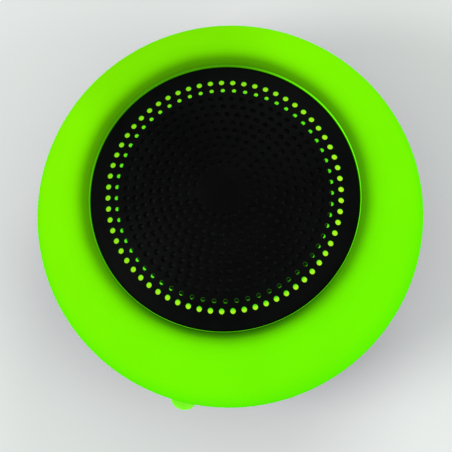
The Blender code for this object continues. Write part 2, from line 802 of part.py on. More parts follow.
def smooth_route(points, per_span=4):
    """Catmull-Rom curve through the route's own points."""
    ends = [points[0]] + list(points) + [points[-1]]
    ends = [Vector(point) for point in ends]
    route = []
    for a, b, c, d in zip(ends, ends[1:], ends[2:], ends[3:]):
        for i in range(per_span):
            t = i / per_span
            route.append(0.5 * ((2 * b) + (c - a) * t + (2 * a - 5 * b + 4 * c - d) * t * t
                                + (3 * b - a - 3 * c + d) * t * t * t))
    route.append(ends[-1])
    return route


def build_lead(name, points, mat, radius=0.55):
    curve = bpy.data.curves.new(name, "CURVE")
    curve.dimensions = "3D"
    curve.bevel_depth = radius * MM
    curve.bevel_resolution = 1
    curve.resolution_u = 1
    curve.render_resolution_u = 0
    curve.use_fill_caps = True
    route = smooth_route(points)
    spline = curve.splines.new("POLY")
    spline.points.add(len(route) - 1)
    for spot, point in zip(spline.points, route):
        spot.co = (*(point * MM), 1.0)
    lead = bpy.data.objects.new(name, curve)
    bpy.context.scene.collection.objects.link(lead)
    curve.materials.append(mat)
    return lead


def speaker_lead_foot(side):
    """Where a speaker lead rises from the main board through the core's floor."""
    return (2.2 * side, -20.4, ON_BOARD_Z)


def build_speaker_leads(red, black):
    for name, side, mat in (("speaker_lead_red", 1, red), ("speaker_lead_black", -1, black)):
        x, y, z = speaker_lead_foot(side)
        build_lead(name, [(x, y, z), (x, y, 23.5), (x, -20.9, 29.0), (x * 1.3, -20.6, 34.5),
                          (x * 3.1, -18.4, 37.6)], mat)


def build_battery_leads(red, black):
    build_lead("battery_lead_red", [(-16.3, 13.0, 16.2), (-18.4, 12.2, 16.5),
                                    (-19.2, 8.0, 17.2), (-18.6, 4.5, 18.1)], red, 0.45)
    build_lead("battery_lead_black", [(-16.3, 10.9, 16.2), (-17.2, 10.3, 16.5),
                                      (-17.5, 7.5, 17.2), (-16.9, 4.5, 18.1)], black, 0.45)


def build_all():
    black = black_abs()
    rubber = black_rubber()
    steel = bare_steel()
    epoxy = chip_epoxy()
    red = wire_red()
    wire = wire_black()

    build_suction_cup(cup_rubber())
    build_cup_stud(steel)
    build_lower_housing(black)
    build_housing_seal(rubber)
    build_diffuser_ring(glowing_diffuser())
    build_front_grille(painted_steel())
    build_grille_mesh(acoustic_cloth())
    for name, azimuth in BUTTONS:
        build_button(name, azimuth, rubber)
    build_port_cover(clear_rubber())

    build_inner_core(white_abs())
    pad = foam()
    flat_washer("diffuser_gasket", 24.6, 31.0, CORE_TOP_Z + GAP, FLANGE_BOTTOM_Z - GAP, pad)
    build_screws(steel)

    build_main_board(board_green())
    build_chips(epoxy)
    build_usb_socket(steel)
    build_microphone(epoxy)
    build_tact_switches(epoxy)
    build_led_board(board_white())
    build_leds(led_package())
    build_battery(cell_foil(), pad)

    build_driver_basket(steel)
    build_driver_gasket(pad)
    build_magnet_system(steel, ferrite())
    paper = paper_cone()
    build_cone(paper)
    build_dust_cap(paper)
    build_voice_coil(copper())
    build_surround(rubber)
    build_spider(spider_cloth())

    build_speaker_leads(red, wire)
    build_battery_leads(red, wire)


clear_scene()
build_all()
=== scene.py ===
"""Looks of the lit shower speaker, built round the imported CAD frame.

Nearly every CAD node is replaced by a finer piece, and what is left gets a procedural
material. Sizes are in millimetres, as in the CAD, and turn to metres when a mesh is made.
"""
import math

import bmesh
import bpy
from mathutils import Matrix, Vector
from mathutils.geometry import delaunay_2d_cdt
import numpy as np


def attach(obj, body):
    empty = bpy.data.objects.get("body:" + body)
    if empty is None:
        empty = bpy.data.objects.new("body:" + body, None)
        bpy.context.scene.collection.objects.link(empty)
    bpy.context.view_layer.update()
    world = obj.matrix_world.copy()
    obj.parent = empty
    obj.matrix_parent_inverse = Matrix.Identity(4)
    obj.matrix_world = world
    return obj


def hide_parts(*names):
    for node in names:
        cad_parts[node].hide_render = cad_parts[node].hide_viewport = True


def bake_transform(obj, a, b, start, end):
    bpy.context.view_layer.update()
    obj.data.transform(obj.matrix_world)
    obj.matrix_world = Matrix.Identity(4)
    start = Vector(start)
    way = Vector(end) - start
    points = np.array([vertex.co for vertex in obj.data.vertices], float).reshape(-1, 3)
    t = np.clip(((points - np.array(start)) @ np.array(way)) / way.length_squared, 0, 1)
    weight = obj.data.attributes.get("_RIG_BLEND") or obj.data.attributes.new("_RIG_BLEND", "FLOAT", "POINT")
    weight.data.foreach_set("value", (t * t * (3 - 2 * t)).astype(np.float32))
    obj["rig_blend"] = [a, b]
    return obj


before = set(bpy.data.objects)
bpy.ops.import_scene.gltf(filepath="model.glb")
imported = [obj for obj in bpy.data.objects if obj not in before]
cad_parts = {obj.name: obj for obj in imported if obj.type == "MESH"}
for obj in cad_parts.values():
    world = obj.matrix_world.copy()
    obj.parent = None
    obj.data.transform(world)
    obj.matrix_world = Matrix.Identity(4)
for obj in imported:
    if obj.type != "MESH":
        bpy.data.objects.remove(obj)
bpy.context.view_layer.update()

MM = 0.001

# Sizes shared with the CAD
BODY_R = 44.0
EQUATOR_Z = 31.0
LIP_TOP_Z = 51.0
FLOOR_Z = 11.5
FLAT_R = 30.0
RIM_Z = 25.8
WALL = 2.2
GAP = 0.3
GRILLE_TOP_Z = 59.2
GRILLE_SPHERE_R = 52.0
CAD_GRILLE_SHEET = 0.8
GRILLE_SKIRT_Z = 48.4
LIP_R = 30.3
FLANGE_R = 23.5
FLANGE_TOP_Z = 48.1
FLANGE_BOTTOM_Z = 46.3
CORE_FLANGE_R = 31.5
CUP_R = 31.0
CUP_LIP_R = 28.4
CUP_HOLLOW = 3.5
NECK_R = 11.0
STUD_R = 4.2
STUD_FLANGE_R = 8.0
STUD_TOP_Z = 15.2
TUB_FLOOR_Z = 13.5
BOARD_BOTTOM_Z = 18.8
SEAL_R = 40.35
SEAL_Z = 27.0
SEAL_CORD_R = 0.55
SPIGOT_OUT_R = 40.4
SPIGOT_IN_R = 38.7
SPIGOT_TOP_Z = 28.2
LEDGE_R = 36.6
LEDGE_Z = 25.6
SOCKET_BOSS_R = 7.5
SOCKET_BOSS_Z = 16.8
LED_BOARD_R = (31.2, 38.4)
LED_BOARD_Z = (25.9, 26.9)
LED_RING_R = 34.8
POST_RING_R = 27.4
POST_AZIMUTHS = (35, 145, 215, 325)
BUTTON_Z = 21.2
BUTTON_HALF = (4.0, 2.0)
PORT_AZIMUTH = 270
PORT_Z = 21.5
PORT_HALF = (5.5, 2.3)
COVER_HALF = (6.75, 3.2)
MIC_AZIMUTH = 300
MIC_Z = 22.3
BOARD_TOP_Z = 20.0
BOARD_R = 33.5
CORE_R = 25.2
CORE_BORE_R = 23.2
CORE_FLOOR_Z = (22.3, 23.9)
CORE_TOP_Z = 45.0
SEAT_R = 18.9
SEAT_Z = 42.6
LEAD_X = 2.2             # where the speaker's leads pass the core's floor
LEAD_Y = -20.4
DRIVER_SCREW_RING_R = 21.4
DRIVER_SCREW_AZIMUTHS = (45, 135, 225, 315)

# Sizes that differ from the CAD's, where the rim is 30.0 and the sheet 0.8
GRILLE_R = 30.14
GRILLE_SHEET = 0.42
TAB_HALF_WIDTH = 2.95    # 2.6 in the CAD

# Perforation of the grille: ring radius, number of holes, azimuth of the first hole, hole radius
HOLE_ROWS = ((26.0, 65, 1.2, 0.58), (23.95, 60, 3.7, 0.46), (21.75, 60, 4.7, 0.6),
             (19.75, 55, 0.7, 0.6), (17.8, 50, 1.6, 0.6), (15.85, 45, 1.5, 0.6),
             (13.9, 40, 4.1, 0.6), (11.95, 35, 6.9, 0.6), (10.0, 30, 6.8, 0.6),
             (8.05, 25, 12.0, 0.6), (6.1, 20, 1.3, 0.6))
PERFORATED_R = 27.2

FINE = 240               # facets round the big turned pieces
MEDIUM = 96
SMALL = 48


# ---------------------------------------------------------------- outlines

def swell(share, power):
    """Fraction of the radius left at a share of the height of a superellipse."""
    return (1.0 - min(1.0, abs(share)) ** power) ** (1.0 / power)


def outer_radius(z, offset=0.0):
    """Radius of the speaker's outer skin at height z, moved out by offset."""
    if z >= EQUATOR_Z:
        share = (z - EQUATOR_Z) / (LIP_TOP_Z - EQUATOR_Z + offset)
        return LIP_R + (BODY_R - LIP_R + offset) * swell(share, 1.8)
    share = (EQUATOR_Z - z) / (EQUATOR_Z - FLOOR_Z + offset)
    return FLAT_R + (BODY_R - FLAT_R + offset) * swell(share, 1.9)


def skin(z_from, z_to, steps):
    """Points along the outer skin at even steps of height."""
    heights = [z_from + (z_to - z_from) * i / steps for i in range(steps + 1)]
    return [(outer_radius(z), z) for z in heights]


def crown(z_low, steps, offset=0.0):
    """The ring's skin from its lip down to z_low, with even steps along the curve."""
    height = LIP_TOP_Z - EQUATOR_Z + offset
    low = math.degrees(math.asin((z_low - EQUATOR_Z) / height))
    points = []
    for i in range(steps + 1):
        z = EQUATOR_Z + height * math.sin(math.radians(90.0 + (low - 90.0) * i / steps))
        points.append((outer_radius(z, offset), z))
    return points


def sphere_z(sphere_r, r):
    """Height of the grille's sphere, or of one inside it, at radius r."""
    return GRILLE_TOP_Z - GRILLE_SPHERE_R + math.sqrt(sphere_r * sphere_r - r * r)


def filleted(corners, steps=4):
    """Outline with each corner (r, z, radius) rounded by an arc. Radius 0 stays sharp."""
    outline = []
    for i, (r, z, radius) in enumerate(corners):
        here = Vector((r, z))
        if not radius:
            outline.append((r, z))
            continue
        back = (Vector(corners[i - 1][:2]) - here).normalized()
        ahead = (Vector(corners[(i + 1) % len(corners)][:2]) - here).normalized()
        half = back.angle(ahead) / 2.0
        centre = here + (back + ahead).normalized() * (radius / math.sin(half))
        start = here + back * (radius / math.tan(half)) - centre
        end = here + ahead * (radius / math.tan(half)) - centre
        sweep = math.atan2(start.x * end.y - start.y * end.x, start.dot(end))
        for k in range(steps + 1):
            turn = sweep * k / steps
            outline.append((centre.x + start.x * math.cos(turn) - start.y * math.sin(turn),
                            centre.y + start.x * math.sin(turn) + start.y * math.cos(turn)))
    return outline


def smooth_curve(points, per_span):
    """Catmull-Rom curve through 2-D or 3-D points."""
    ends = [Vector(p) for p in [points[0]] + list(points) + [points[-1]]]
    curve = []
    for a, b, c, d in zip(ends, ends[1:], ends[2:], ends[3:]):
        for i in range(per_span):
            t = i / per_span
            curve.append(0.5 * (2 * b + (c - a) * t + (2 * a - 5 * b + 4 * c - d) * t * t
                                + (3 * b - a - 3 * c + d) * t * t * t))
    curve.append(ends[-1])
    return [tuple(p) for p in curve]


def pill(half_width, half_height, steps=12):
    """Stadium outline as (y, z) pairs round its centre."""
    straight = half_width - half_height
    points = []
    for side, start in ((1, -90), (-1, 90)):
        for i in range(steps + 1):
            angle = math.radians(start + 180.0 * i / steps)
            points.append((side * straight + half_height * math.cos(angle),
                           half_height * math.sin(angle)))
    return points


def circle(centre, radius, count):
    return [(centre[0] + radius * math.cos(2.0 * math.pi * i / count),
             centre[1] + radius * math.sin(2.0 * math.pi * i / count)) for i in range(count)]


def rounded_box(half_width, half_height, power=6.0, count=48):
    """Rectangle with soft corners, as pairs round its centre."""
    points = []
    for i in range(count):
        angle = 2.0 * math.pi * i / count
        across = math.cos(angle)
        up = math.sin(angle)
        reach = (abs(across) ** power + abs(up) ** power) ** (-1.0 / power)
        points.append((half_width * reach * across, half_height * reach * up))
    return points


def flat_ring(outline, x, mid_z):
    return [(x, y, mid_z + z) for y, z in outline]


def pill_rings(steps, mid_z):
    """Upright stadium rings from (half width, half height, x) steps."""
    return [flat_ring(pill(half_w, half_h), x, mid_z) for half_w, half_h, x in steps]


def level_ring(outline, z):
    return [(x, y, z) for x, y in outline]


def skin_ring(outline, offset, mid_z):
    """An outline laid on the outer skin at azimuth 0, moved out by offset."""
    ring = []
    for y, z in outline:
        radius = outer_radius(mid_z + z) + offset
        ring.append((math.sqrt(radius * radius - y * y), y, mid_z + z))
    return ring


def at_azimuth(radius, azimuth, z):
    angle = math.radians(azimuth)
    return (radius * math.cos(angle), radius * math.sin(angle), z)


# ---------------------------------------------------------------- meshes

def join_rings(bm, first, second):
    """Faces between two closed rings of vertices, either of which may be a single point."""
    count = max(len(first), len(second))
    if count == 1:
        return
    for i in range(count):
        corners = []
        for vert in (first[i % len(first)], first[(i + 1) % len(first)],
                     second[(i + 1) % len(second)], second[i % len(second)]):
            if vert not in corners:
                corners.append(vert)
        bm.faces.new(corners)


def lathe(profile, facets):
    """Spin a closed outline of (r, z) points round the Z axis."""
    bm = bmesh.new()
    rings = []
    for r, z in profile:
        if r < 1e-6:
            rings.append([bm.verts.new((0.0, 0.0, z * MM))])
            continue
        spots = (at_azimuth(r, 360.0 * i / facets, z) for i in range(facets))
        rings.append([bm.verts.new(Vector(spot) * MM) for spot in spots])
    pairs = list(zip(rings, rings[1:]))
    if len(rings[0]) > 1:
        pairs.append((rings[-1], rings[0]))
    for lower, upper in pairs:
        join_rings(bm, lower, upper)
    return bm


def loft(rings):
    """Closed solid through rings of (x, y, z) points, with a flat face at both ends."""
    bm = bmesh.new()
    loops = [[bm.verts.new(Vector(point) * MM) for point in ring] for ring in rings]
    for first, second in zip(loops, loops[1:]):
        join_rings(bm, first, second)
    for end in (loops[0], loops[-1]):
        bm.faces.new(end)
    return bm


def rod(radius, start, end, facets=24):
    """Cylinder between two points."""
    start = Vector(start)
    end = Vector(end)
    turn = (end - start).to_track_quat("Z", "Y")
    rings = []
    for point in (start, end):
        spots = (Vector(at_azimuth(radius, 360.0 * i / facets, 0.0)) for i in range(facets))
        rings.append([point + turn @ spot for spot in spots])
    return loft(rings)


def block(size, centre):
    bm = bmesh.new()
    bmesh.ops.create_cube(bm, size=1.0)
    bmesh.ops.scale(bm, vec=Vector(size) * MM, verts=bm.verts)
    bmesh.ops.translate(bm, vec=Vector(centre) * MM, verts=bm.verts)
    return bm


def soft_block(size, centre, bevel=0.12, material=0):
    """Block with rounded edges and one material number."""
    bm = block(size, centre)
    bmesh.ops.bevel(bm, geom=bm.edges[:], offset=bevel * MM, segments=2, profile=0.5,
                    affect="EDGES")
    for face in bm.faces:
        face.material_index = material
    return bm


def shift(bm, offset):
    bmesh.ops.translate(bm, vec=Vector(offset) * MM, verts=bm.verts)
    return bm


def turn_to(bm, azimuth):
    """Turn a mesh made along +X to its azimuth round the speaker's axis."""
    bmesh.ops.transform(bm, matrix=Matrix.Rotation(math.radians(azimuth), 4, "Z"), verts=bm.verts)
    return bm


def merged(meshes):
    """Several meshes as one."""
    target = bmesh.new()
    for source in meshes:
        lookup = {vert: target.verts.new(vert.co) for vert in source.verts}
        for face in source.faces:
            made = target.faces.new([lookup[vert] for vert in face.verts])
            made.material_index = face.material_index
        source.free()
    return target


def tube(path, radius, facets=16, material=0):
    """Round wire along a path of 3-D points."""
    points = [Vector(point) for point in path]
    side = (points[1] - points[0]).orthogonal().normalized()
    rings = []
    for i, point in enumerate(points):
        ahead = (points[min(i + 1, len(points) - 1)] - points[max(i - 1, 0)]).normalized()
        side = (side - ahead * side.dot(ahead)).normalized()
        other = ahead.cross(side)
        rings.append([point + (side * math.cos(angle) + other * math.sin(angle)) * radius
                      for angle in (2.0 * math.pi * k / facets for k in range(facets))])
    bm = loft(rings)
    for face in bm.faces:
        face.material_index = material
    return bm


def uprights(radius, ring_r, azimuths, low, high, facets=24):
    """Upright rods at several azimuths, as one mesh."""
    return merged([rod(radius, at_azimuth(ring_r, azimuth, low), at_azimuth(ring_r, azimuth, high),
                       facets) for azimuth in azimuths])


def mesh_object(name, bm, materials=(), sharp=32.0):
    bmesh.ops.recalc_face_normals(bm, faces=bm.faces)
    mesh = bpy.data.meshes.new(name)
    bm.to_mesh(mesh)
    bm.free()
    mesh.shade_smooth()
    mesh.set_sharp_from_angle(angle=math.radians(sharp))
    obj = bpy.data.objects.new(name, mesh)
    bpy.context.scene.collection.objects.link(obj)
    for mat in materials:
        mesh.materials.append(mat)
    return obj


def combined(obj, steps, sharp=32.0):
    """Apply (operation, mesh) steps to an object and take the tools away again."""
    tools = []
    for i, (operation, bm) in enumerate(steps):
        tool = mesh_object("%s_tool_%d" % (obj.name, i), bm)
        modifier = obj.modifiers.new(tool.name, "BOOLEAN")
        modifier.operation = operation
        modifier.solver = "EXACT"
        modifier.object = tool
        tools.append(tool)
    evaluated = obj.evaluated_get(bpy.context.evaluated_depsgraph_get())
    mesh = bpy.data.meshes.new_from_object(evaluated)
    obj.modifiers.clear()
    obj.data = mesh
    mesh.shade_smooth()
    mesh.set_sharp_from_angle(angle=math.radians(sharp))
    for tool in tools:
        bpy.data.objects.remove(tool, do_unlink=True)
    return obj


def attached(obj, meshes):
    """Add loose solids to an object's mesh."""
    bm = bmesh.new()
    bm.from_mesh(obj.data)
    whole = merged([bm] + meshes)
    bmesh.ops.recalc_face_normals(whole, faces=whole.faces)
    whole.to_mesh(obj.data)
    whole.free()
    obj.data.shade_smooth()
    obj.data.set_sharp_from_angle(angle=math.radians(32.0))


def settle(obj, body, node=None):
    """Let a finished piece ride on its body and stand for its node."""
    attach(obj, body)
    if node:
        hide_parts(node)


def piece(name, bm, materials, body, node=None, sharp=32.0):
    """Make a piece that needs no further work on its mesh, and settle it."""
    settle(mesh_object(name, bm, materials, sharp), body, node)


# ---------------------------------------------------------------- shader nodes

def add(tree, kind, inputs=None, **settings):
    """Add a shader node. Inputs are numbers, colours or the sockets that feed them."""
    made = tree.nodes.new("ShaderNode" + kind)
    for key, value in settings.items():
        setattr(made, key, value)
    for key, value in (inputs or {}).items():
        if isinstance(value, bpy.types.NodeSocket):
            tree.links.new(value, made.inputs[key])
        else:
            made.inputs[key].default_value = value
    return made


def math_node(tree, operation, *values):
    return add(tree, "Math", dict(enumerate(values)), operation=operation).outputs[0]


def product(tree, first, *others):
    """Several numbers multiplied."""
    for other in others:
        first = math_node(tree, "MULTIPLY", first, other)
    return first


def object_coords(tree):
    return add(tree, "TexCoord").outputs["Object"]


def noise(tree, scale, detail=2.0, roughness=0.5, vector=None):
    vector = vector or object_coords(tree)
    made = add(tree, "TexNoise", {"Vector": vector, "Scale": scale, "Detail": detail,
                                  "Roughness": roughness})
    return made.outputs["Fac"]


def between(tree, value, low, high, out_low=0.0, out_high=1.0, smooth=False):
    """Map a value from one range to another, held at its ends."""
    made = add(tree, "MapRange", {"Value": value, "From Min": low, "From Max": high,
                                  "To Min": out_low, "To Max": out_high},
               interpolation_type="SMOOTHSTEP" if smooth else "LINEAR")
    return made.outputs["Result"]


def varied(tree, scale, detail, low, high):
    """A number that wanders between two values from spot to spot."""
    return between(tree, noise(tree, scale, detail), 0.3, 0.7, low, high)


def mixed(tree, factor, first, second):
    """Blend two colours, given as RGB or as sockets."""
    made = add(tree, "Mix", data_type="RGBA")
    for index, value in ((0, factor), (6, first), (7, second)):
        if isinstance(value, bpy.types.NodeSocket):
            tree.links.new(value, made.inputs[index])
        elif index:
            made.inputs[index].default_value = (*value, 1.0)
        else:
            made.inputs[index].default_value = value
    return made.outputs[2]


def ramp(tree, value, stops):
    """Grey levels or colours along a value, as (position, level) stops."""
    made = add(tree, "ValToRGB", {"Fac": value})
    elements = made.color_ramp.elements
    while len(elements) < len(stops):
        elements.new(0.5)
    for element, (position, level) in zip(elements, stops):
        element.position = position
        element.color = (*level, 1.0) if isinstance(level, tuple) else (level, level, level, 1.0)
    return made.outputs["Color"]


def bump(tree, height, distance, strength=1.0, normal=None):
    inputs = {"Height": height, "Distance": distance * MM, "Strength": strength}
    if normal:
        inputs["Normal"] = normal
    return add(tree, "Bump", inputs).outputs["Normal"]


def start_material(name, **constants):
    """New material and its shader with the numbers that are the same all over it."""
    mat = bpy.data.materials.new(name)
    mat.use_nodes = True
    tree = mat.node_tree
    shader = tree.nodes["Principled BSDF"]
    for key, value in constants.items():
        socket = shader.inputs[key.replace("_", " ")]
        socket.default_value = (*value, 1.0) if isinstance(value, tuple) else value
    return mat, tree, shader


def feed(tree, shader, **sockets):
    for key, value in sockets.items():
        tree.links.new(value, shader.inputs[key.replace("_", " ")])


def moulded(name, light, dark, roughness, grain=3200.0, depth=0.02, cloud=90.0, **constants):
    """Moulded plastic or rubber: fine erosion grain, slow mottling, and patchy gloss."""
    mat, tree, shader = start_material(name, **constants)
    clouds = noise(tree, cloud, 4.0, 0.6)
    grains = noise(tree, grain, 3.0, 0.6)
    feed(tree, shader,
         Base_Color=mixed(tree, between(tree, clouds, 0.3, 0.7), dark, light),
         Roughness=between(tree, noise(tree, cloud * 5, 5.0, 0.65), 0.3, 0.7,
                           roughness - 0.06, roughness + 0.07),
         Normal=bump(tree, grains, depth))
    return mat


def metal(name, light, dark, roughness, scratch=(900.0, 900.0, 40.0)):
    """Plated or drawn metal with fine lines and slightly uneven colour."""
    mat, tree, shader = start_material(name, Metallic=1.0)
    lines = add(tree, "Mapping", {"Vector": object_coords(tree), "Scale": scratch}).outputs[0]
    streaks = noise(tree, 1.0, 3.0, 0.6, lines)
    clouds = noise(tree, 260.0, 3.0, 0.6)
    feed(tree, shader,
         Base_Color=mixed(tree, between(tree, clouds, 0.3, 0.7), dark, light),
         Roughness=between(tree, streaks, 0.3, 0.7, roughness - 0.08, roughness + 0.12),
         Normal=bump(tree, streaks, 0.006))
    return mat


def woven(name, light, dark, pitch, depth, roughness):
    """Plain weave: threads that cross every pitch millimetres in X and Y."""
    mat, tree, shader = start_material(name)
    coords = object_coords(tree)
    per_metre = 1.0 / (pitch * MM)
    heights = []
    for axis in "XY":
        wave = add(tree, "TexWave", {"Vector": coords, "Scale": per_metre / 20.0,
                                     "Distortion": 0.15},
                   wave_type="BANDS", bands_direction=axis, wave_profile="SIN")
        heights.append(wave.outputs["Fac"])
    weave = math_node(tree, "MAXIMUM", *heights)
    fuzz = noise(tree, per_metre * 1.5, 2.0)
    # The weave's height, varied at random by the fuzz: it drives the bump, and its darker low parts paint
    # shade between the threads
    weave_height_and_shade = product(tree, weave, between(tree, fuzz, 0.2, 0.8, 0.6, 1.0))
    feed(tree, shader,
         Base_Color=mixed(tree, weave_height_and_shade, dark, light),
         Roughness=between(tree, fuzz, 0.2, 0.8, roughness - 0.08, roughness + 0.05),
         Normal=bump(tree, weave_height_and_shade, depth))
    return mat


def radius_mm(tree, coords):
    """Distance from the speaker's axis in millimetres, with the X, Y and Z sockets."""
    parts = add(tree, "SeparateXYZ", {"Vector": coords}).outputs
    x, y, z = (product(tree, part, 1.0 / MM) for part in parts)
    flat = add(tree, "CombineXYZ", {"X": x, "Y": y, "Z": 0.0}).outputs[0]
    return add(tree, "VectorMath", {0: flat}, operation="LENGTH").outputs["Value"], x, y, z


def along(tree, x, y, azimuth):
    """How far a spot lies towards an azimuth, in millimetres."""
    angle = math.radians(azimuth)
    return math_node(tree, "ADD", product(tree, x, math.cos(angle)),
                     product(tree, y, math.sin(angle)))


# ---------------------------------------------------------------- the lit ring

GLOW = (0.175, 0.87, 0.0)            # emitted colour where the ring is fully lit
GLOW_WARM = (0.225, 0.86, 0.0)       # slightly yellower side
GLOW_COOL = (0.150, 0.89, 0.0)       # slightly greener side
GLOW_LOW = (0.085, 0.84, 0.0)        # greener still towards the ring's base
WARM_AZIMUTH = 140.0
SLOW_AZIMUTH = 125.0                 # side where the light fades in more slowly from the lip
NEAR_AZIMUTH = 285.0                 # side where the lip itself stays darkest
RIM_LIGHT_AZIMUTH = 350.0            # side where light leaks out most between lip and grille
STRONG_AZIMUTH = 330.0               # side where the outer row of holes is brightest
GLEAM_AZIMUTH = 43.0                 # axis along which the lip's inner edge gleams at both ends


def toward_near(tree, x, y):
    """Shift of the dim line beside the lip: widest on the side opposite the slow one."""
    toward = math_node(tree, "DIVIDE", along(tree, x, y, NEAR_AZIMUTH), 31.0)
    return between(tree, toward, 0.1, 1.0, -1.6, 0.35)


def ring_skin():
    """Milky diffuser lit from inside: dim by the lip, over the opaque core, and full outside."""
    mat, tree, shader = start_material("diffuser_glow", Specular_IOR_Level=0.0)
    coords = object_coords(tree)
    radius, x, y, z = radius_mm(tree, coords)
    toward = math_node(tree, "DIVIDE", along(tree, x, y, SLOW_AZIMUTH), 36.0)
    slow = between(tree, toward, -1.0, 1.0, 0.2, -0.35)
    wander = between(tree, noise(tree, 70.0, 2.0), 0.25, 0.75, -0.25, 0.25)
    reach = math_node(tree, "ADD", math_node(tree, "ADD", radius, slow), wander)
    lit = ramp(tree, between(tree, reach, 30.0, 38.0),
               [(0.0, 0.20), (0.09, 0.28), (0.20, 0.35), (0.32, 0.60), (0.43, 0.80), (0.55, 0.92),
                (0.70, 0.97), (0.90, 1.0)])
    edge = between(tree, math_node(tree, "SUBTRACT", radius, toward_near(tree, x, y)), 29.6, 32.0,
                   0.0, 1.0, True)
    warm = math_node(tree, "DIVIDE", along(tree, x, y, WARM_AZIMUTH), 44.0)
    sides = mixed(tree, between(tree, warm, -1.0, 1.0), GLOW_COOL, GLOW_WARM)
    high = between(tree, z, 27.0, 43.0, 0.0, 1.0, True)
    colour = mixed(tree, product(tree, high, edge), GLOW_LOW, sides)
    haze = between(tree, noise(tree, 45.0, 3.0, 0.6), 0.25, 0.75, 0.965, 1.02)
    skirt = between(tree, z, 25.0, 33.0, 0.84, 1.0, True)
    facing = math_node(tree, "DIVIDE", along(tree, x, y, SLOW_AZIMUTH), radius)
    weak_side = between(tree, facing, 0.74, 1.0, 1.0, 0.86, True)
    fine = noise(tree, 2600.0, 2.0)
    feed(tree, shader,
         Base_Color=mixed(tree, between(tree, fine, 0.3, 0.7), (0.012, 0.058, 0.0005),
                          (0.018, 0.078, 0.001)),
         Emission_Color=colour,
         Emission_Strength=product(tree, lit, haze, skirt, edge, weak_side),
         Roughness=varied(tree, 400.0, 4.0, 0.38, 0.5),
         Normal=bump(tree, fine, 0.012))
    return mat


def ring_inside():
    """The same plastic on the flange under the grille and on the lip's inner wall."""
    mat, tree, shader = start_material("diffuser_inside", Base_Color=(0.03, 0.12, 0.002),
                                       Specular_IOR_Level=0.2)
    radius, x, y, z = radius_mm(tree, object_coords(tree))
    wall = between(tree, radius, 29.2, 30.0)
    fine = noise(tree, 900.0, 2.0)
    bright_side = between(tree, along(tree, x, y, RIM_LIGHT_AZIMUTH), -12.0, 20.0, 0.0, 1.0, True)
    crest = mixed(tree, bright_side, (0.045, 0.27, 0.0), (0.090, 0.66, 0.0))
    rim = mixed(tree, between(tree, z, 48.6, 50.3, 0.0, 1.0, True), (0.010, 0.10, 0.0), crest)
    strong = between(tree, along(tree, x, y, STRONG_AZIMUTH), -22.0, 18.0)
    outer_row = mixed(tree, strong, (0.26, 0.74, 0.010), (0.42, 0.93, 0.018))
    under_rows = mixed(tree, between(tree, radius, 24.9, 25.3), (0.10, 0.80, 0.008), outer_row)
    across = math_node(tree, "ABSOLUTE", along(tree, x, y, GLEAM_AZIMUTH))
    gleam = between(tree, across, 14.0, 27.0, 1.0, 1.75, True)
    feed(tree, shader,
         Emission_Color=mixed(tree, wall, under_rows, rim),
         Emission_Strength=product(tree, between(tree, fine, 0.3, 0.7, 0.94, 1.04),
                                   mixed(tree, wall, (1.0, 1.0, 1.0), gleam)),
         Roughness=between(tree, fine, 0.3, 0.7, 0.4, 0.5))
    return mat


def build_diffuser_ring():
    base_z = RIM_Z + GAP
    seat_r = SEAL_R + SEAL_CORD_R + GAP
    shell = [point for point in crown(EQUATOR_Z, 44) if point[0] > 31.2]
    shell += skin(EQUATOR_Z, base_z + 0.4, 6)[1:]
    inner = [(seat_r, base_z, 0.12), (seat_r, 28.6, 0.2)]
    inner += [(r, z, 0.0) for r, z in reversed(crown(EQUATOR_Z, 26, -WALL)[:-1])
              if r > CORE_FLANGE_R + 0.5]
    corners = [(LIP_R, LIP_TOP_Z, 0.42)] + [(r, z, 0.0) for r, z in shell]
    corners += [(outer_radius(base_z) - 0.02, base_z, 0.25)] + inner
    corners += [(CORE_FLANGE_R, FLANGE_BOTTOM_Z, 0.0), (FLANGE_R, FLANGE_BOTTOM_Z, 0.2),
                (FLANGE_R, FLANGE_TOP_Z, 0.3), (LIP_R, FLANGE_TOP_Z, 0.25)]
    ring = mesh_object("diffuser_ring_lit", lathe(filleted(corners), FINE),
                       (ring_skin(), ring_inside()), 40.0)
    wall_top = (LIP_TOP_Z - 0.2) * MM
    wall_r = (LIP_R + 0.12) * MM
    for face in ring.data.polygons:
        if face.center.z < wall_top and face.center.xy.length < wall_r:
            face.material_index = 1
    settle(ring, "speaker", "diffuser_ring")


# ---------------------------------------------------------------- grille

def grille_coat_and_painted_glow():
    """Black powder coat on pressed steel. The walls of the outer holes glow green: painted light from the
    lit ring.
    """
    mat, tree, shader = start_material("grille_powder_coat_and_painted_glow", Specular_IOR_Level=0.03,
                                       Emission_Color=(0.035, 0.42, 0.0))
    coords = object_coords(tree)
    radius = radius_mm(tree, coords)[0]
    pebble = noise(tree, 2400.0, 3.0, 0.55)
    clouds = noise(tree, 130.0, 4.0, 0.6)
    centre = (0.0, 0.0, (GRILLE_TOP_Z - GRILLE_SPHERE_R) * MM)
    from_centre = add(tree, "VectorMath", {0: coords, 1: centre}, operation="DISTANCE")
    in_wall = between(tree, from_centre.outputs["Value"], (GRILLE_SPHERE_R - 0.10) * MM,
                      (GRILLE_SPHERE_R - 0.01) * MM, 1.0, 0.0)
    # Painted green light from the ring, emitted only by the walls of the holes in the two outer rows
    lit_rows = product(tree, between(tree, radius, 22.9, 25.4),
                         between(tree, radius, 26.8, 27.1, 1.0, 0.0))
    feed(tree, shader,
         Base_Color=mixed(tree, between(tree, clouds, 0.3, 0.7), (0.0009, 0.0009, 0.0011),
                          (0.0023, 0.0023, 0.0025)),
         Emission_Strength=product(tree, in_wall, lit_rows),
         Roughness=between(tree, clouds, 0.3, 0.7, 0.46, 0.58),
         Normal=bump(tree, pebble, 0.02))
    return mat


def hole_spots():
    """Centre and radius of every hole in the grille, in plan."""
    spots = []
    for radius, count, first, hole_r in HOLE_ROWS:
        spots += [(Vector(at_azimuth(radius, first + 360.0 * i / count, 0.0)[:2]), hole_r)
                  for i in range(count)]
    return spots


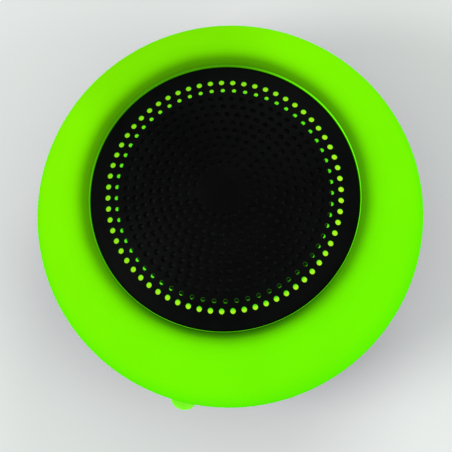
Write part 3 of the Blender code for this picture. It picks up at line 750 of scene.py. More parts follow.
def perforated_plan(holes, roll, sides):
    """Triangles between the holes in plan, as points, faces and each hole's point numbers."""
    points = circle((0.0, 0.0), PERFORATED_R, FINE)
    loops = [list(range(FINE))]
    for centre, hole_r in holes:
        first = len(points)
        points += circle(centre, hole_r + roll, sides)
        loops.append(list(range(first, first + sides)))
    for radius, count in ((0.01, 1), (1.6, 8), (3.2, 16), (4.6, 26)):
        points += circle((0.0, 0.0), radius, count)
    edges = []
    for loop in loops:
        edges += list(zip(loop, loop[1:] + loop[:1]))
    vectors = [Vector(point) for point in points]
    found = delaunay_2d_cdt(vectors, edges, [], 0, 1e-5)
    out_points, out_faces, origins = found[0], found[2], found[3]
    came_from = {}
    for number, sources in enumerate(origins):
        for source in sources:
            came_from[source] = number
    hole_loops = [[came_from[i] for i in loop] for loop in loops[1:]]
    owner = {}
    for number, loop in enumerate(hole_loops):
        owner.update((i, number) for i in loop)
    faces = []
    for face in out_faces:
        owners = {owner.get(i, -1 - i) for i in face}
        if len(owners) > 1:
            faces.append(tuple(face))
    outer = [came_from[i] for i in loops[0]]
    return out_points, faces, outer, hole_loops


def build_front_grille():
    """Domed sheet with round punched holes, a turned-down skirt and softly rolled hole edges."""
    roll = 0.11
    sides = 20
    holes = hole_spots()
    plan, faces, outer, loops = perforated_plan(holes, roll, sides)
    bm = bmesh.new()
    under_r = GRILLE_SPHERE_R - GRILLE_SHEET

    def spot(x, y, sphere_r, drop=0.0):
        z = sphere_z(sphere_r, math.hypot(x, y)) - drop
        return bm.verts.new(Vector((x, y, z)) * MM)

    top = [spot(p.x, p.y, GRILLE_SPHERE_R) for p in plan]
    under_plan = [Vector(p) for p in plan]
    for (centre, hole_r), loop in zip(holes, loops):
        for i in loop:
            under_plan[i] = centre.lerp(plan[i], hole_r / (hole_r + roll))
    under = [spot(p.x, p.y, under_r) for p in under_plan]
    for face in faces:
        bm.faces.new([top[i] for i in face])
        bm.faces.new([under[i] for i in reversed(face)])
    for (centre, hole_r), loop in zip(holes, loops):
        previous = [top[i] for i in loop]
        for share, drop in ((0.5, 0.015), (0.13, 0.055), (0.0, 0.11)):
            ring = []
            for i in loop:
                p = centre.lerp(plan[i], (hole_r + roll * share) / (hole_r + roll))
                ring.append(spot(p.x, p.y, GRILLE_SPHERE_R, drop))
            join_rings(bm, previous, ring)
            previous = ring
        join_rings(bm, previous, [under[i] for i in loop])
    add_skirt(bm, [top[i] for i in outer], [under[i] for i in outer], under_r)
    grille = mesh_object("front_grille_perforated", bm, (grille_coat_and_painted_glow(),), 50.0)
    settle(grille, "speaker", "front_grille")


def add_skirt(bm, top, under, under_r):
    """Plain border of the grille: dome, rounded shoulder, skirt and the way back underneath."""
    inside_r = GRILLE_R - GRILLE_SHEET
    shoulder = filleted([(28.6, sphere_z(GRILLE_SPHERE_R, 28.6) + 0.03, 0.0),
                         (GRILLE_R, sphere_z(GRILLE_SPHERE_R, 28.6) - 0.35, 0.5),
                         (GRILLE_R, GRILLE_SKIRT_Z, 0.15), (inside_r, GRILLE_SKIRT_Z, 0.15),
                         (inside_r, sphere_z(under_r, inside_r), 0.35),
                         (28.2, sphere_z(under_r, 28.2), 0.0)], 6)
    profile = [(28.0, sphere_z(GRILLE_SPHERE_R, 28.0))] + shoulder
    previous = top
    for r, z in profile:
        ring = []
        for vert in top:
            direction = vert.co.xy.normalized() * r * MM
            ring.append(bm.verts.new((direction.x, direction.y, z * MM)))
        join_rings(bm, previous, ring)
        previous = ring
    join_rings(bm, previous, under)


def acoustic_cloth():
    return woven("acoustic_mesh_cloth", (0.010, 0.010, 0.011), (0.001, 0.001, 0.001), 0.28, 0.06,
                 0.85)


def build_grille_cloth():
    outside = GRILLE_SPHERE_R - CAD_GRILLE_SHEET - GAP
    inside = outside - 0.4
    radii = [23.85 * i / 16 for i in range(17)]
    profile = [(r, sphere_z(outside, r)) for r in radii]
    profile += [(r, sphere_z(inside, r)) for r in reversed(radii)]
    piece("grille_cloth", lathe(profile, MEDIUM), (acoustic_cloth(),), "speaker",
          "grille_mesh")


# ---------------------------------------------------------------- lower housing

def black_abs():
    return moulded("black_abs_grained", (0.017, 0.017, 0.018), (0.010, 0.010, 0.011), 0.44,
                   grain=2600.0, depth=0.03, Specular_IOR_Level=0.45)


def inner_tub_radius(z):
    share = (EQUATOR_Z - z) / (EQUATOR_Z - TUB_FLOOR_Z + 0.25)
    return FLAT_R - 1.0 + (BODY_R - WALL - FLAT_R + 1.0) * swell(share, 1.9)


def tub_skin():
    """Skin of the tub up to just below its rim, with closer steps where it curves most."""
    points = []
    for i in range(23):
        angle = math.radians(4.0 + 86.0 * i / 22)
        z = EQUATOR_Z - (EQUATOR_Z - FLOOR_Z) * math.cos(angle) ** 0.9
        if z < RIM_Z - 0.5:
            points.append((outer_radius(z), z))
    points.append((outer_radius(RIM_Z - 0.4), RIM_Z - 0.4))
    return points


def tub_outline():
    """Outline of the tub, from the stud socket's ceiling round to the boss's top."""
    groove_r = SEAL_R - SEAL_CORD_R - GAP
    low_z = SEAL_Z - SEAL_CORD_R - GAP
    high_z = SEAL_Z + SEAL_CORD_R + GAP
    corners = [(0.0, STUD_TOP_Z + GAP, 0.0), (STUD_R + GAP, STUD_TOP_Z + GAP, 0.2),
               (STUD_R + GAP, FLOOR_Z, 0.35), (FLAT_R - 1.5, FLOOR_Z, 0.0)]
    corners += [(r, z, 0.0) for r, z in tub_skin()]
    corners += [(outer_radius(RIM_Z) - 0.02, RIM_Z, 0.25), (SPIGOT_OUT_R, RIM_Z, 0.1),
                (SPIGOT_OUT_R, low_z, 0.1), (groove_r, low_z, 0.1), (groove_r, high_z, 0.1),
                (SPIGOT_OUT_R, high_z, 0.1), (SPIGOT_OUT_R, SPIGOT_TOP_Z, 0.2),
                (SPIGOT_IN_R, SPIGOT_TOP_Z, 0.2), (SPIGOT_IN_R, LEDGE_Z, 0.15),
                (LEDGE_R, LEDGE_Z, 0.2), (LEDGE_R, LEDGE_Z - 1.3, 0.0)]
    corners += [(inner_tub_radius(z), z, 0.0)
                for z in (23.7, 22.0, 20.5, 18.8, 17.2, 16.0, 14.9, 14.2, 13.7, TUB_FLOOR_Z)]
    corners += [(SOCKET_BOSS_R, TUB_FLOOR_Z, 0.4), (SOCKET_BOSS_R, SOCKET_BOSS_Z, 0.3),
                (0.0, SOCKET_BOSS_Z, 0.0)]
    return filleted(corners)


def stepped_bore(azimuth):
    """Clearance bore with a counterbore for the screw's head, chamfered at its mouth."""
    head_r, shank_r, seat_z = 2.5, 1.4, 13.6
    outline = [(0.0, FLOOR_Z - 1.0), (head_r + 0.3, FLOOR_Z - 1.0), (head_r + 0.3, FLOOR_Z - 0.05),
               (head_r, FLOOR_Z + 0.25), (head_r, seat_z), (shank_r, seat_z),
               (shank_r, BOARD_BOTTOM_Z + 1.0), (0.0, BOARD_BOTTOM_Z + 1.0)]
    return shift(lathe(outline, 40), at_azimuth(POST_RING_R, azimuth, 0.0))


def flared_opening(half_width, half_height, mid_z, azimuth, depth_x):
    """Cutter for a pill-shaped opening whose mouth on the skin has a small chamfer."""
    straight = pill(half_width, half_height)
    flared = pill(half_width + 0.3, half_height + 0.3)
    rings = [flat_ring(straight, depth_x, mid_z), skin_ring(straight, -0.2, mid_z),
             skin_ring(flared, 0.1, mid_z), flat_ring(flared, 47.0, mid_z)]
    return turn_to(loft(rings), azimuth)


def port_cutter():
    """Opening for the plug, with a shallow recess round it for the cover's plate."""
    opening = pill(*PORT_HALF)
    recess = pill(COVER_HALF[0] + GAP, COVER_HALF[1] + GAP)
    flared = pill(COVER_HALF[0] + GAP + 0.25, COVER_HALF[1] + GAP + 0.25)
    rings = [flat_ring(opening, 37.0, PORT_Z), skin_ring(opening, -1.0, PORT_Z),
             skin_ring(recess, -1.0, PORT_Z), skin_ring(recess, -0.15, PORT_Z),
             skin_ring(flared, 0.1, PORT_Z), flat_ring(flared, 47.0, PORT_Z)]
    return turn_to(loft(rings), PORT_AZIMUTH)


def build_lower_housing():
    housing = mesh_object("lower_housing_tub", lathe(tub_outline(), FINE), (black_abs(),))
    posts = uprights(3.0, POST_RING_R, POST_AZIMUTHS, TUB_FLOOR_Z - 1.0, BOARD_BOTTOM_Z - GAP, 40)
    bores = merged([stepped_bore(azimuth) for azimuth in POST_AZIMUTHS])
    half_w, half_h = (half + GAP + 0.05 for half in BUTTON_HALF)
    openings = [flared_opening(half_w, half_h, BUTTON_Z, azimuth, 38.0)
                for _, _, azimuth, _ in BUTTONS]
    openings.append(port_cutter())
    openings.append(rod(0.6, at_azimuth(37.0, MIC_AZIMUTH, MIC_Z),
                        at_azimuth(46.0, MIC_AZIMUTH, MIC_Z)))
    combined(housing, [("UNION", posts), ("DIFFERENCE", bores), ("DIFFERENCE", merged(openings))])
    settle(housing, "speaker", "lower_housing")


def zinc_steel():
    return metal("zinc_plated_steel", (0.66, 0.66, 0.67), (0.52, 0.53, 0.55), 0.30)


def build_screws(name, ring_r, azimuths, profile, facets, cross, turns, mat):
    """Screws on a ring. A cross recess (length, width, depth, z) is cut into each head."""
    length, width, depth, z = cross
    first, step = turns
    for number, azimuth in enumerate(azimuths, 1):
        spot = at_azimuth(ring_r, azimuth, 0.0)
        screw = mesh_object("%s_%d_head" % (name, number), shift(lathe(profile, facets), spot), (mat,))
        arms = [shift(turn_to(block(size, (0.0, 0.0, z)), first + step * number), spot)
                for size in ((length, width, depth), (width, length, depth))]
        combined(screw, [("DIFFERENCE", arm) for arm in arms])
        settle(screw, "speaker", "%s_%d" % (name, number))


def build_housing_screws(mat):
    """Long pan-head screws that face down in their counterbores."""
    profile = filleted([(0.0, 11.9, 0.0), (1.75, 11.9, 0.5), (2.2, 12.55, 0.2), (2.2, 13.3, 0.15),
                        (1.0, 13.3, 0.0), (1.0, 29.2, 0.0), (0.55, 30.0, 0.0), (0.0, 30.0, 0.0)])
    build_screws("housing_screw", POST_RING_R, POST_AZIMUTHS, profile, SMALL, (2.3, 0.5, 1.5, 12.0),
                 (20.0, 37.0), mat)


# ---------------------------------------------------------------- suction cup

def cup_rubber():
    """Glossy flexible vinyl."""
    return moulded("cup_vinyl", (0.013, 0.013, 0.014), (0.008, 0.008, 0.009), 0.22, grain=260.0,
                   depth=0.006, Specular_IOR_Level=0.5)


def build_suction_cup():
    pocket_r = STUD_FLANGE_R + GAP
    bore_r = STUD_R + GAP
    neck_top = FLOOR_Z - GAP
    back = smooth_curve([(NECK_R, 9.8), (11.4, 9.0), (12.6, 8.1), (17.0, 6.5), (24.0, 4.1),
                         (29.6, 1.9), (CUP_R, 1.2), (CUP_R + 0.3, 0.75), (CUP_R + 0.1, 0.25),
                         (CUP_R - 0.2, 0.0)], 4)
    corners = [(0.0, 6.4, 0.0), (pocket_r, 6.4, 0.2), (pocket_r, 8.8, 0.2), (bore_r, 8.8, 0.1),
               (bore_r, neck_top, 0.3), (NECK_R, neck_top, 0.6)]
    corners += [(r, z, 0.0) for r, z in back]
    for i in range(20):
        r = CUP_LIP_R * (1.0 - i / 19.0)
        corners.append((r, CUP_HOLLOW * (1.0 - (r / CUP_LIP_R) ** 2), 0.0))
    piece("suction_cup_vinyl", lathe(filleted(corners), 160), (cup_rubber(),), "cup",
          "suction_cup")


def build_cup_stud(mat):
    neck_r = STUD_R - 0.6
    corners = [(0.0, 6.7, 0.0), (STUD_FLANGE_R, 6.7, 0.3), (STUD_FLANGE_R, 8.5, 0.4),
               (STUD_R, 8.5, 0.3), (STUD_R, 12.5, 0.15), (neck_r, 12.7, 0.1), (neck_r, 13.5, 0.1),
               (STUD_R, 13.8, 0.15), (STUD_R, 14.6, 0.2), (neck_r, STUD_TOP_Z, 0.2),
               (0.0, STUD_TOP_Z, 0.0)]
    piece("cup_stud_turned", lathe(filleted(corners), 64), (mat,), "cup", "cup_stud")


# ---------------------------------------------------------------- keys

def key_rubber():
    return moulded("key_rubber", (0.030, 0.030, 0.031), (0.020, 0.020, 0.021), 0.62, grain=4200.0,
                   depth=0.02, Specular_IOR_Level=0.4)


def symbol_ink():
    """Pale print on the raised symbols, slightly uneven as pad printing is."""
    return moulded("symbol_ink", (0.62, 0.63, 0.62), (0.50, 0.51, 0.50), 0.5, grain=5000.0,
                   depth=0.01, cloud=1200.0)


def bar(width, height, across=0.0, up=0.0):
    half_w = width / 2.0
    half_h = height / 2.0
    return [(across + u, up + v) for u, v in ((-half_w, -half_h), (half_w, -half_h),
                                              (half_w, half_h), (-half_w, half_h))]


def arc_band(radius, width, start, end, steps=18):
    """Outline of a bent bar."""
    outline = []
    for side, angles in ((0.5, range(steps + 1)), (-0.5, range(steps, -1, -1))):
        for i in angles:
            angle = math.radians(start + (end - start) * i / steps)
            reach = radius + side * width
            outline.append((reach * math.cos(angle), reach * math.sin(angle)))
    return outline


def plus_outline(reach, stroke):
    """Outline of an upright cross."""
    half = stroke / 2.0
    return [(-reach, -half), (-half, -half), (-half, -reach), (half, -reach), (half, -half),
            (reach, -half), (reach, half), (half, half), (half, reach), (-half, reach),
            (-half, half), (-reach, half)]


STROKE = 0.34
PLUS = [plus_outline(1.05, STROKE)]
MINUS = [bar(2.1, STROKE)]
PLAY_PAUSE = [[(-1.5, -0.95), (0.15, 0.0), (-1.5, 0.95)], bar(STROKE, 1.8, 0.65),
              bar(STROKE, 1.8, 1.3)]
POWER = [arc_band(0.95, STROKE, 125, 415), bar(STROKE, 1.0, 0.0, 0.75)]

# Node, body, azimuth and symbol of each key
BUTTONS = (("button_volume_down", "volume_down_key", 60, MINUS),
           ("button_play", "play_key", 80, PLAY_PAUSE),
           ("button_power", "power_key", 100, POWER),
           ("button_volume_up", "volume_up_key", 120, PLUS))


def key_rise(u, v):
    """How far the key's crowned face stands out of the skin at a spot on it."""
    straight = BUTTON_HALF[0] - BUTTON_HALF[1]
    share = min(1.0, math.hypot(max(0.0, abs(u) - straight), v) / BUTTON_HALF[1])
    return 0.22 + 0.46 * math.sqrt(1.0 - share ** 4)


def raised_ring(outline, lift):
    """An outline laid on the key's crowned face, moved out by lift."""
    ring = []
    for u, v in outline:
        radius = outer_radius(BUTTON_Z + v) + key_rise(u, v) + lift
        ring.append((math.sqrt(radius * radius - u * u), u, BUTTON_Z + v))
    return ring


def key_mesh():
    """Plunger, sealing flange and a pillowed cap."""
    half_w, half_h = BUTTON_HALF
    flange_w, flange_h = half_w + 1.1, half_h + 0.4
    rings = pill_rings(((1.4, 1.2, 35.2), (1.4, 1.2, 36.7), (flange_w, flange_h, 36.7),
                        (flange_w, flange_h, 37.4), (half_w, half_h, 37.4)), BUTTON_Z)
    rings.append(skin_ring(pill(half_w, half_h), 0.0, BUTTON_Z))
    for share in (1.0, 0.992, 0.975, 0.945, 0.90, 0.83, 0.74, 0.62, 0.46, 0.28, 0.08):
        outline = pill(half_w - half_h + share * half_h, share * half_h)
        rings.append(raised_ring(outline, 0.0))
    return loft(rings)


def subdivided(outline, step=0.2):
    points = []
    for a, b in zip(outline, outline[1:] + outline[:1]):
        count = max(1, round(math.dist(a, b) / step))
        points += [(a[0] + (b[0] - a[0]) * i / count, a[1] + (b[1] - a[1]) * i / count)
                   for i in range(count)]
    return points


def build_keys():
    rubber = key_rubber()
    ink = symbol_ink()
    for name, body, azimuth, strokes in BUTTONS:
        piece(name + "_cap", turn_to(key_mesh(), azimuth), (rubber,), body, name)
        solids = []
        for outline in strokes:
            dense = subdivided(outline)
            solids.append(loft([raised_ring(dense, -0.12), raised_ring(dense, 0.05)]))
        piece(name + "_symbol", turn_to(merged(solids), azimuth), (ink,), body)


# ---------------------------------------------------------------- charging port

def cover_silicone(name, tab_glow):
    """Clear silicone that carries the ring's light. The tab next to the ring adds tab_glow."""
    mat, tree, shader = start_material(name, Specular_IOR_Level=0.08,
                                       Specular_Tint=(0.5, 1.0, 0.3))
    radius, _, _, z = radius_mm(tree, object_coords(tree))
    skin_light = between(tree, z, 18.3, 24.0, 0.05, 0.34, True)
    tab_light = between(tree, radius, 42.95, 43.45, 0.0, tab_glow, True)
    level = math_node(tree, "ADD", skin_light, tab_light)
    haze = varied(tree, 500.0, 3.0, 0.9, 1.05)
    feed(tree, shader,
         Base_Color=mixed(tree, noise(tree, 240.0, 3.0), (0.05, 0.17, 0.02), (0.07, 0.22, 0.03)),
         Emission_Color=mixed(tree, between(tree, level, 0.2, 1.0), (0.09, 0.62, 0.0), GLOW),
         Emission_Strength=product(tree, level, haze),
         Roughness=varied(tree, 900.0, 3.0, 0.32, 0.45),
         Normal=bump(tree, noise(tree, 1800.0, 2.0), 0.012))
    return mat


def tab_mesh():
    """Half-oval tab with rounded edges that stands out of the plate's upper edge."""
    root = outer_radius(PORT_Z + 2.4) - 0.4
    middle = 2.4
    half_height = 0.7
    rings = []
    for i in range(13):
        level = -math.cos(math.pi * i / 12)
        share = 1.0 - 0.30 * (1.0 - swell(level, 2.6))
        ring = []
        for k in range(25):
            angle = math.radians(-90.0 + 7.5 * k)
            ring.append((root + 2.5 * share * math.cos(angle), TAB_HALF_WIDTH * share * math.sin(angle),
                         PORT_Z + middle + half_height * level))
        rings.append(ring)
    return loft(rings)


def build_port_cover():
    half_w, half_h = COVER_HALF
    plug_w, plug_h = PORT_HALF[0] - GAP, PORT_HALF[1] - GAP
    plug = [(plug_w - inset, plug_h - inset, rise)
            for inset, rise in ((0.35, -1.9), (0.1, -1.75), (0.0, -1.5), (0.0, -0.7))]
    plate = [(half_w - inset, half_h - inset, rise)
             for inset, rise in ((0.05, -0.7), (0.0, -0.62), (0.0, -0.16), (0.03, -0.05), (0.1, 0.03),
                                 (0.2, 0.08), (0.34, 0.1), (0.9, 0.1), (1.6, 0.1), (2.3, 0.1),
                                 (2.9, 0.1), (3.15, 0.1))]
    rings = [skin_ring(pill(across, up), rise, PORT_Z) for across, up, rise in plug + plate]
    cover = mesh_object("port_cover_flap", turn_to(loft(rings), PORT_AZIMUTH),
                        (cover_silicone("cover_silicone_lit", 0.60),))
    combined(cover, [("UNION", turn_to(tab_mesh(), PORT_AZIMUTH))], 40.0)
    settle(cover, "port_flap", "port_cover")


# ---------------------------------------------------------------- finishes of inner pieces

def board_tracks(tree, coords):
    """Long parallel tracks, white on black."""
    black = (0.0, 0.0, 0.0, 1.0)
    return add(tree, "TexBrick", {"Vector": coords, "Scale": 220.0, "Mortar Size": 0.03,
                                  "Brick Width": 2.6, "Row Height": 0.17, "Color1": black,
                                  "Color2": black, "Mortar": (1.0, 1.0, 1.0, 1.0)},
               offset=0.31).outputs["Color"]


def board(name, light, dark, track):
    """Circuit board: solder mask over fields of parallel tracks, with a fibre grain."""
    mat, tree, shader = start_material(name, Specular_IOR_Level=0.5)
    coords = object_coords(tree)
    quarter_turn = (0.0, 0.0, math.pi / 2.0)
    crossed = add(tree, "Mapping", {"Vector": coords, "Rotation": quarter_turn}).outputs[0]
    fields = between(tree, noise(tree, 90.0, 1.0), 0.49, 0.51)
    lanes = mixed(tree, fields, board_tracks(tree, coords), board_tracks(tree, crossed))
    mask = mixed(tree, noise(tree, 300.0, 4.0), dark, light)
    feed(tree, shader,
         Base_Color=mixed(tree, lanes, mask, track),
         Roughness=varied(tree, 900.0, 3.0, 0.32, 0.48),
         Normal=bump(tree, lanes, 0.04))
    return mat


def soft_black(name, roughness):
    return moulded(name, (0.020, 0.020, 0.021), (0.012, 0.012, 0.013), roughness)


def ferrite():
    return moulded("ferrite_grain", (0.060, 0.060, 0.064), (0.038, 0.038, 0.042), 0.62, grain=1500.0,
                   depth=0.05)


def paper_cone():
    return moulded("cone_paper", (0.030, 0.029, 0.028), (0.014, 0.014, 0.014), 0.85, grain=900.0,
                   depth=0.08, cloud=500.0)


def foam():
    mat, tree, shader = start_material("foam_cells", Specular_IOR_Level=0.2)
    pores = add(tree, "TexVoronoi", {"Vector": object_coords(tree), "Scale": 2200.0})
    cells = pores.outputs["Distance"]
    # Darker at the middle of each cell, where the bump sinks: painted shade in the pores
    feed(tree, shader,
         Base_Color=mixed(tree, cells, (0.02, 0.02, 0.022), (0.07, 0.07, 0.074)),
         Roughness=between(tree, cells, 0.0, 0.7, 0.88, 1.0),
         Normal=bump(tree, cells, 0.12))
    return mat


def lit_led():
    """White package round a glowing phosphor window."""
    mat, tree, shader = start_material("led_lit", Roughness=0.35, Emission_Strength=2.0)
    spots = noise(tree, 1400.0, 2.0)
    feed(tree, shader,
         Base_Color=mixed(tree, spots, (0.5, 0.6, 0.3), (0.7, 0.8, 0.4)),
         Emission_Color=mixed(tree, spots, (0.22, 0.90, 0.02), (0.34, 1.0, 0.06)))
    return mat


def copper_winding():
    """Enamelled wire wound in turns along Z."""
    mat, tree, shader = start_material("copper_winding", Metallic=1.0)
    turns = add(tree, "TexWave", {"Vector": object_coords(tree), "Scale": 260.0}, wave_type="BANDS",
                bands_direction="Z").outputs["Fac"]
    # Base colour darker between the turns: painted shade in the grooves
    feed(tree, shader,
         Base_Color=mixed(tree, turns, (0.40, 0.14, 0.05), (0.78, 0.36, 0.16)),
         Roughness=between(tree, turns, 0.0, 1.0, 0.5, 0.28),
         Normal=bump(tree, turns, 0.08))
    return mat


# ---------------------------------------------------------------- inner structure

def build_turned_pieces(steel):
    """Plain rings and plates with rounded edges: gaskets, seal, pole pieces and magnet."""
    foam_mat = foam()
    rubber = soft_black("seal_rubber", 0.6)
    cord = [(SEAL_R + y, SEAL_Z + z, 0.0) for y, z in circle((0.0, 0.0), SEAL_CORD_R, 16)]
    yoke = [(0.0, 33.2, 0.0), (4.1, 33.2, 0.4), (4.1, 26.3, 0.3), (12.4, 26.3, 0.2), (12.4, 24.6, 0.5),
            (2.2, 24.6, 0.3), (1.6, 25.2, 0.2), (0.0, 25.2, 0.0)]
    for name, node, slot, mat, corners, facets in (
            ("housing_seal_cord", "housing_seal", "black_rubber", rubber, cord, FINE),
            ("diffuser_gasket_foam", "diffuser_gasket", "foam", foam_mat,
             [(24.6, 45.3, 0.15), (31.0, 45.3, 0.15), (31.0, 46.0, 0.15), (24.6, 46.0, 0.15)], FINE),
            ("top_plate_turned", "top_plate", "zinc_steel", steel,
             [(5.6, 30.4, 0.15), (12.2, 30.4, 0.3), (12.2, 32.7, 0.3), (5.6, 32.7, 0.15)], MEDIUM),
            ("magnet_ring", "magnet", "ferrite", ferrite(),
             [(6.8, 26.6, 0.35), (13.6, 26.6, 0.5), (13.6, 30.1, 0.5), (6.8, 30.1, 0.35)], MEDIUM),
            ("yoke_turned", "yoke", "zinc_steel", steel, yoke, MEDIUM)):
        piece(name, lathe(filleted(corners), facets), (mat,), "speaker", node)


def build_inner_core():
    """White cup that holds the driver, with screw bosses and stiffening ribs outside."""
    floor_low, floor_high = CORE_FLOOR_Z
    corners = [(0.0, floor_low, 0.0), (CORE_R, floor_low, 0.5), (CORE_R, 41.8, 0.6), (26.4, 43.4, 0.8),
               (CORE_FLANGE_R, 43.4, 0.25), (CORE_FLANGE_R, CORE_TOP_Z, 0.25),
               (CORE_BORE_R, CORE_TOP_Z, 0.25), (CORE_BORE_R, SEAT_Z, 0.15), (SEAT_R, SEAT_Z, 0.2),
               (SEAT_R, 41.2, 0.2), (CORE_BORE_R, 40.2, 0.4), (CORE_BORE_R, floor_high, 0.6),
               (0.0, floor_high, 0.0)]
    mat = moulded("white_abs_core", (0.74, 0.75, 0.72), (0.66, 0.67, 0.64), 0.46)
    core = mesh_object("inner_core_moulded", lathe(filleted(corners), 144), (mat,))
    bosses = uprights(3.0, POST_RING_R, POST_AZIMUTHS, BOARD_TOP_Z + GAP, 34.0, 32)
    seats = uprights(1.7, DRIVER_SCREW_RING_R, DRIVER_SCREW_AZIMUTHS, 36.5, 41.9)
    ribs = [turn_to(block((3.2, 1.0, 16.0), (26.2, 0.0, 35.0)), 45.0 * i) for i in range(8)]
    bores = [uprights(1.3, POST_RING_R, POST_AZIMUTHS, 19.0, 31.0),
             uprights(0.9, DRIVER_SCREW_RING_R, DRIVER_SCREW_AZIMUTHS, 37.4, 44.0)]
    bores += [rod(0.95, (x, LEAD_Y, 21.0), (x, LEAD_Y, 25.0)) for x in (-LEAD_X, LEAD_X)]
    combined(core, [("UNION", bosses), ("UNION", seats), ("UNION", merged(ribs)),
                    ("DIFFERENCE", merged(bores))])
    settle(core, "speaker", "inner_core")


def build_driver_screws(mat):
    """Short screws that hold the basket in its seat."""
    profile = filleted([(0.0, 38.2, 0.0), (0.3, 38.2, 0.0), (0.6, 39.2, 0.1), (0.6, 45.3, 0.05),
                        (1.3, 45.3, 0.15), (1.25, 45.9, 0.2), (0.9, 46.2, 0.25), (0.0, 46.2, 0.0)])
    build_screws("driver_screw", DRIVER_SCREW_RING_R, DRIVER_SCREW_AZIMUTHS, profile, 32,
                 (1.5, 0.32, 0.9, 46.2), (0.0, 50.0), mat)


# ---------------------------------------------------------------- driver

def build_basket(steel):
    """Pressed frame with four rounded windows and holes for its screws."""
    corners = [(22.9, 45.0, 0.2), (22.9, 43.7, 0.2), (18.6, 43.7, 0.3), (18.3, 42.4, 0.3),
               (13.6, 36.2, 0.6), (13.6, 33.0, 0.3), (8.6, 33.0, 0.15), (8.6, 34.0, 0.15),
               (11.3, 34.0, 0.3), (11.3, 36.4, 0.25), (12.6, 36.4, 0.3), (17.2, 42.7, 0.4),
               (17.3, 45.0, 0.2)]
    basket = mesh_object("driver_basket_pressed", lathe(filleted(corners), 144), (steel,))
    window = rounded_box(5.5, 2.3, 5.0)
    cuts = [turn_to(loft([flat_ring(window, 11.0, 39.6), flat_ring(window, 25.0, 39.6)]), 90.0 * i)
            for i in range(4)]
    holes = uprights(0.9, DRIVER_SCREW_RING_R, DRIVER_SCREW_AZIMUTHS, 43.0, 46.0)
    combined(basket, [("DIFFERENCE", merged(cuts)), ("DIFFERENCE", holes)])
    settle(basket, "speaker", "driver_basket")


def arc_points(centre, half_w, half_h, angles):
    """Points of an upright ellipse, as (r, z), at angles in degrees."""
    return [(centre[0] + half_w * math.cos(math.radians(angle)),
             centre[1] + half_h * math.sin(math.radians(angle))) for angle in angles]


def build_cone(paper):
    """Flared paper cone with three pressed ribs."""
    top = []
    for i in range(49):
        r = 5.4 + 9.5 * i / 48
        rib = sum(0.16 * math.exp(-((r - place) / 0.35) ** 2) for place in (7.9, 10.2, 12.5))
        top.append((r, 38.4 + 6.3 * ((r - 5.4) / 9.5) ** 1.08 + rib))
    under = [(r + 0.12, z - 0.42) for r, z in reversed(top)]
    profile = top + [(15.9, 44.8), (15.95, 44.55), (15.9, 44.35)] + under[:-1]
    profile += [(5.7, 37.9), (5.4, 37.9)]
    piece("cone_ribbed", lathe(profile, MEDIUM), (paper,), "diaphragm", "cone", 50.0)


def build_dust_cap(paper):
    """Thin dome over the coil."""
    outside = arc_points((0.0, 39.5), 6.2, 2.2, range(0, 90, 6)) + [(0.0, 41.7)]
    inside = [(0.0, 41.25)] + arc_points((0.0, 39.5), 5.75, 1.75, range(84, -1, -6))
    piece("dust_cap_dome", lathe(outside + inside, MEDIUM), (paper,), "diaphragm",
          "dust_cap", 50.0)


def build_voice_coil():
    """Brown former with copper turns wound round its lower half."""
    former = moulded("coil_former", (0.30, 0.13, 0.04), (0.22, 0.09, 0.03), 0.4)
    pitch = 0.28
    profile = [(4.5, 38.6), (4.5, 28.6), (4.9, 28.6)]
    for i in range(18):
        z = 28.75 + pitch * i
        profile += [(4.92, z), (5.07, z + pitch * 0.25), (5.1, z + pitch * 0.5),
                    (5.07, z + pitch * 0.75)]
    profile += [(4.92, 33.85), (4.75, 33.9), (4.75, 38.6)]
    coil = mesh_object("voice_coil_wound", lathe(profile, MEDIUM), (copper_winding(), former), 60.0)
    for face in coil.data.polygons:
        if face.center.z > 33.85 * MM or face.center.xy.length < 4.7 * MM:
            face.material_index = 1
    settle(coil, "diaphragm", "voice_coil")


def flexing(obj, node, inner_r, outer_r):
    """Let a ring bend from the cone, at its inner edge, to the basket at its outer edge.
    """
    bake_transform(obj, "diaphragm", "speaker", start=(inner_r * MM, 0.0, 0.0), end=(outer_r * MM, 0.0, 0.0))
    weights = obj.data.attributes["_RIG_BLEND"].data
    for vert, weight in zip(obj.data.vertices, weights):
        share = (vert.co.xy.length / MM - inner_r) / (outer_r - inner_r)
        share = min(1.0, max(0.0, share))
        weight.value = share * share * (3.0 - 2.0 * share)
    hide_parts(node)


def build_suspension():
    """Half-roll surround at the cone's edge and corrugated spider at the coil."""
    rubber = moulded("surround_rubber", (0.024, 0.024, 0.025), (0.015, 0.015, 0.016), 0.55)
    over = arc_points((17.3, 45.6), 1.6, 1.6, range(180, -1, -9))
    under = arc_points((17.3, 45.5), 1.2, 1.2, range(0, 181, 12))
    profile = [(14.8, 44.9), (14.8, 45.25), (15.4, 45.35)] + over
    profile += [(19.9, 45.6), (19.9, 45.3), (18.5, 45.3)] + under[1:-1] + [(16.1, 45.3), (15.9, 44.9)]
    surround = mesh_object("surround_half_roll", lathe(profile, MEDIUM), (rubber,), 50.0)
    flexing(surround, "surround", 15.9, 18.8)

    cloth = woven("spider_weave", (0.66, 0.46, 0.15), (0.40, 0.25, 0.07), 0.35, 0.06, 0.85)
    waves = [(r, 37.2 - 0.15 * math.cos(math.pi * (r - 5.4)))
             for r in (5.4 + 0.125 * i for i in range(57))]
    sheet = [(r, z - 0.28) for r, z in reversed(waves)]
    spider = mesh_object("spider_corrugated", lathe(waves + sheet, MEDIUM), (cloth,), 60.0)
    flexing(spider, "spider", 5.6, 11.6)


def build_driver(steel):
    build_basket(steel)
    paper = paper_cone()
    build_cone(paper)
    build_dust_cap(paper)
    build_voice_coil()
    build_suspension()


# ---------------------------------------------------------------- electronics

RESISTOR = (1.0, 0.5, 0.45)
CAPACITOR = (1.6, 0.8, 0.7)
DIODE = (2.0, 1.2, 0.9)


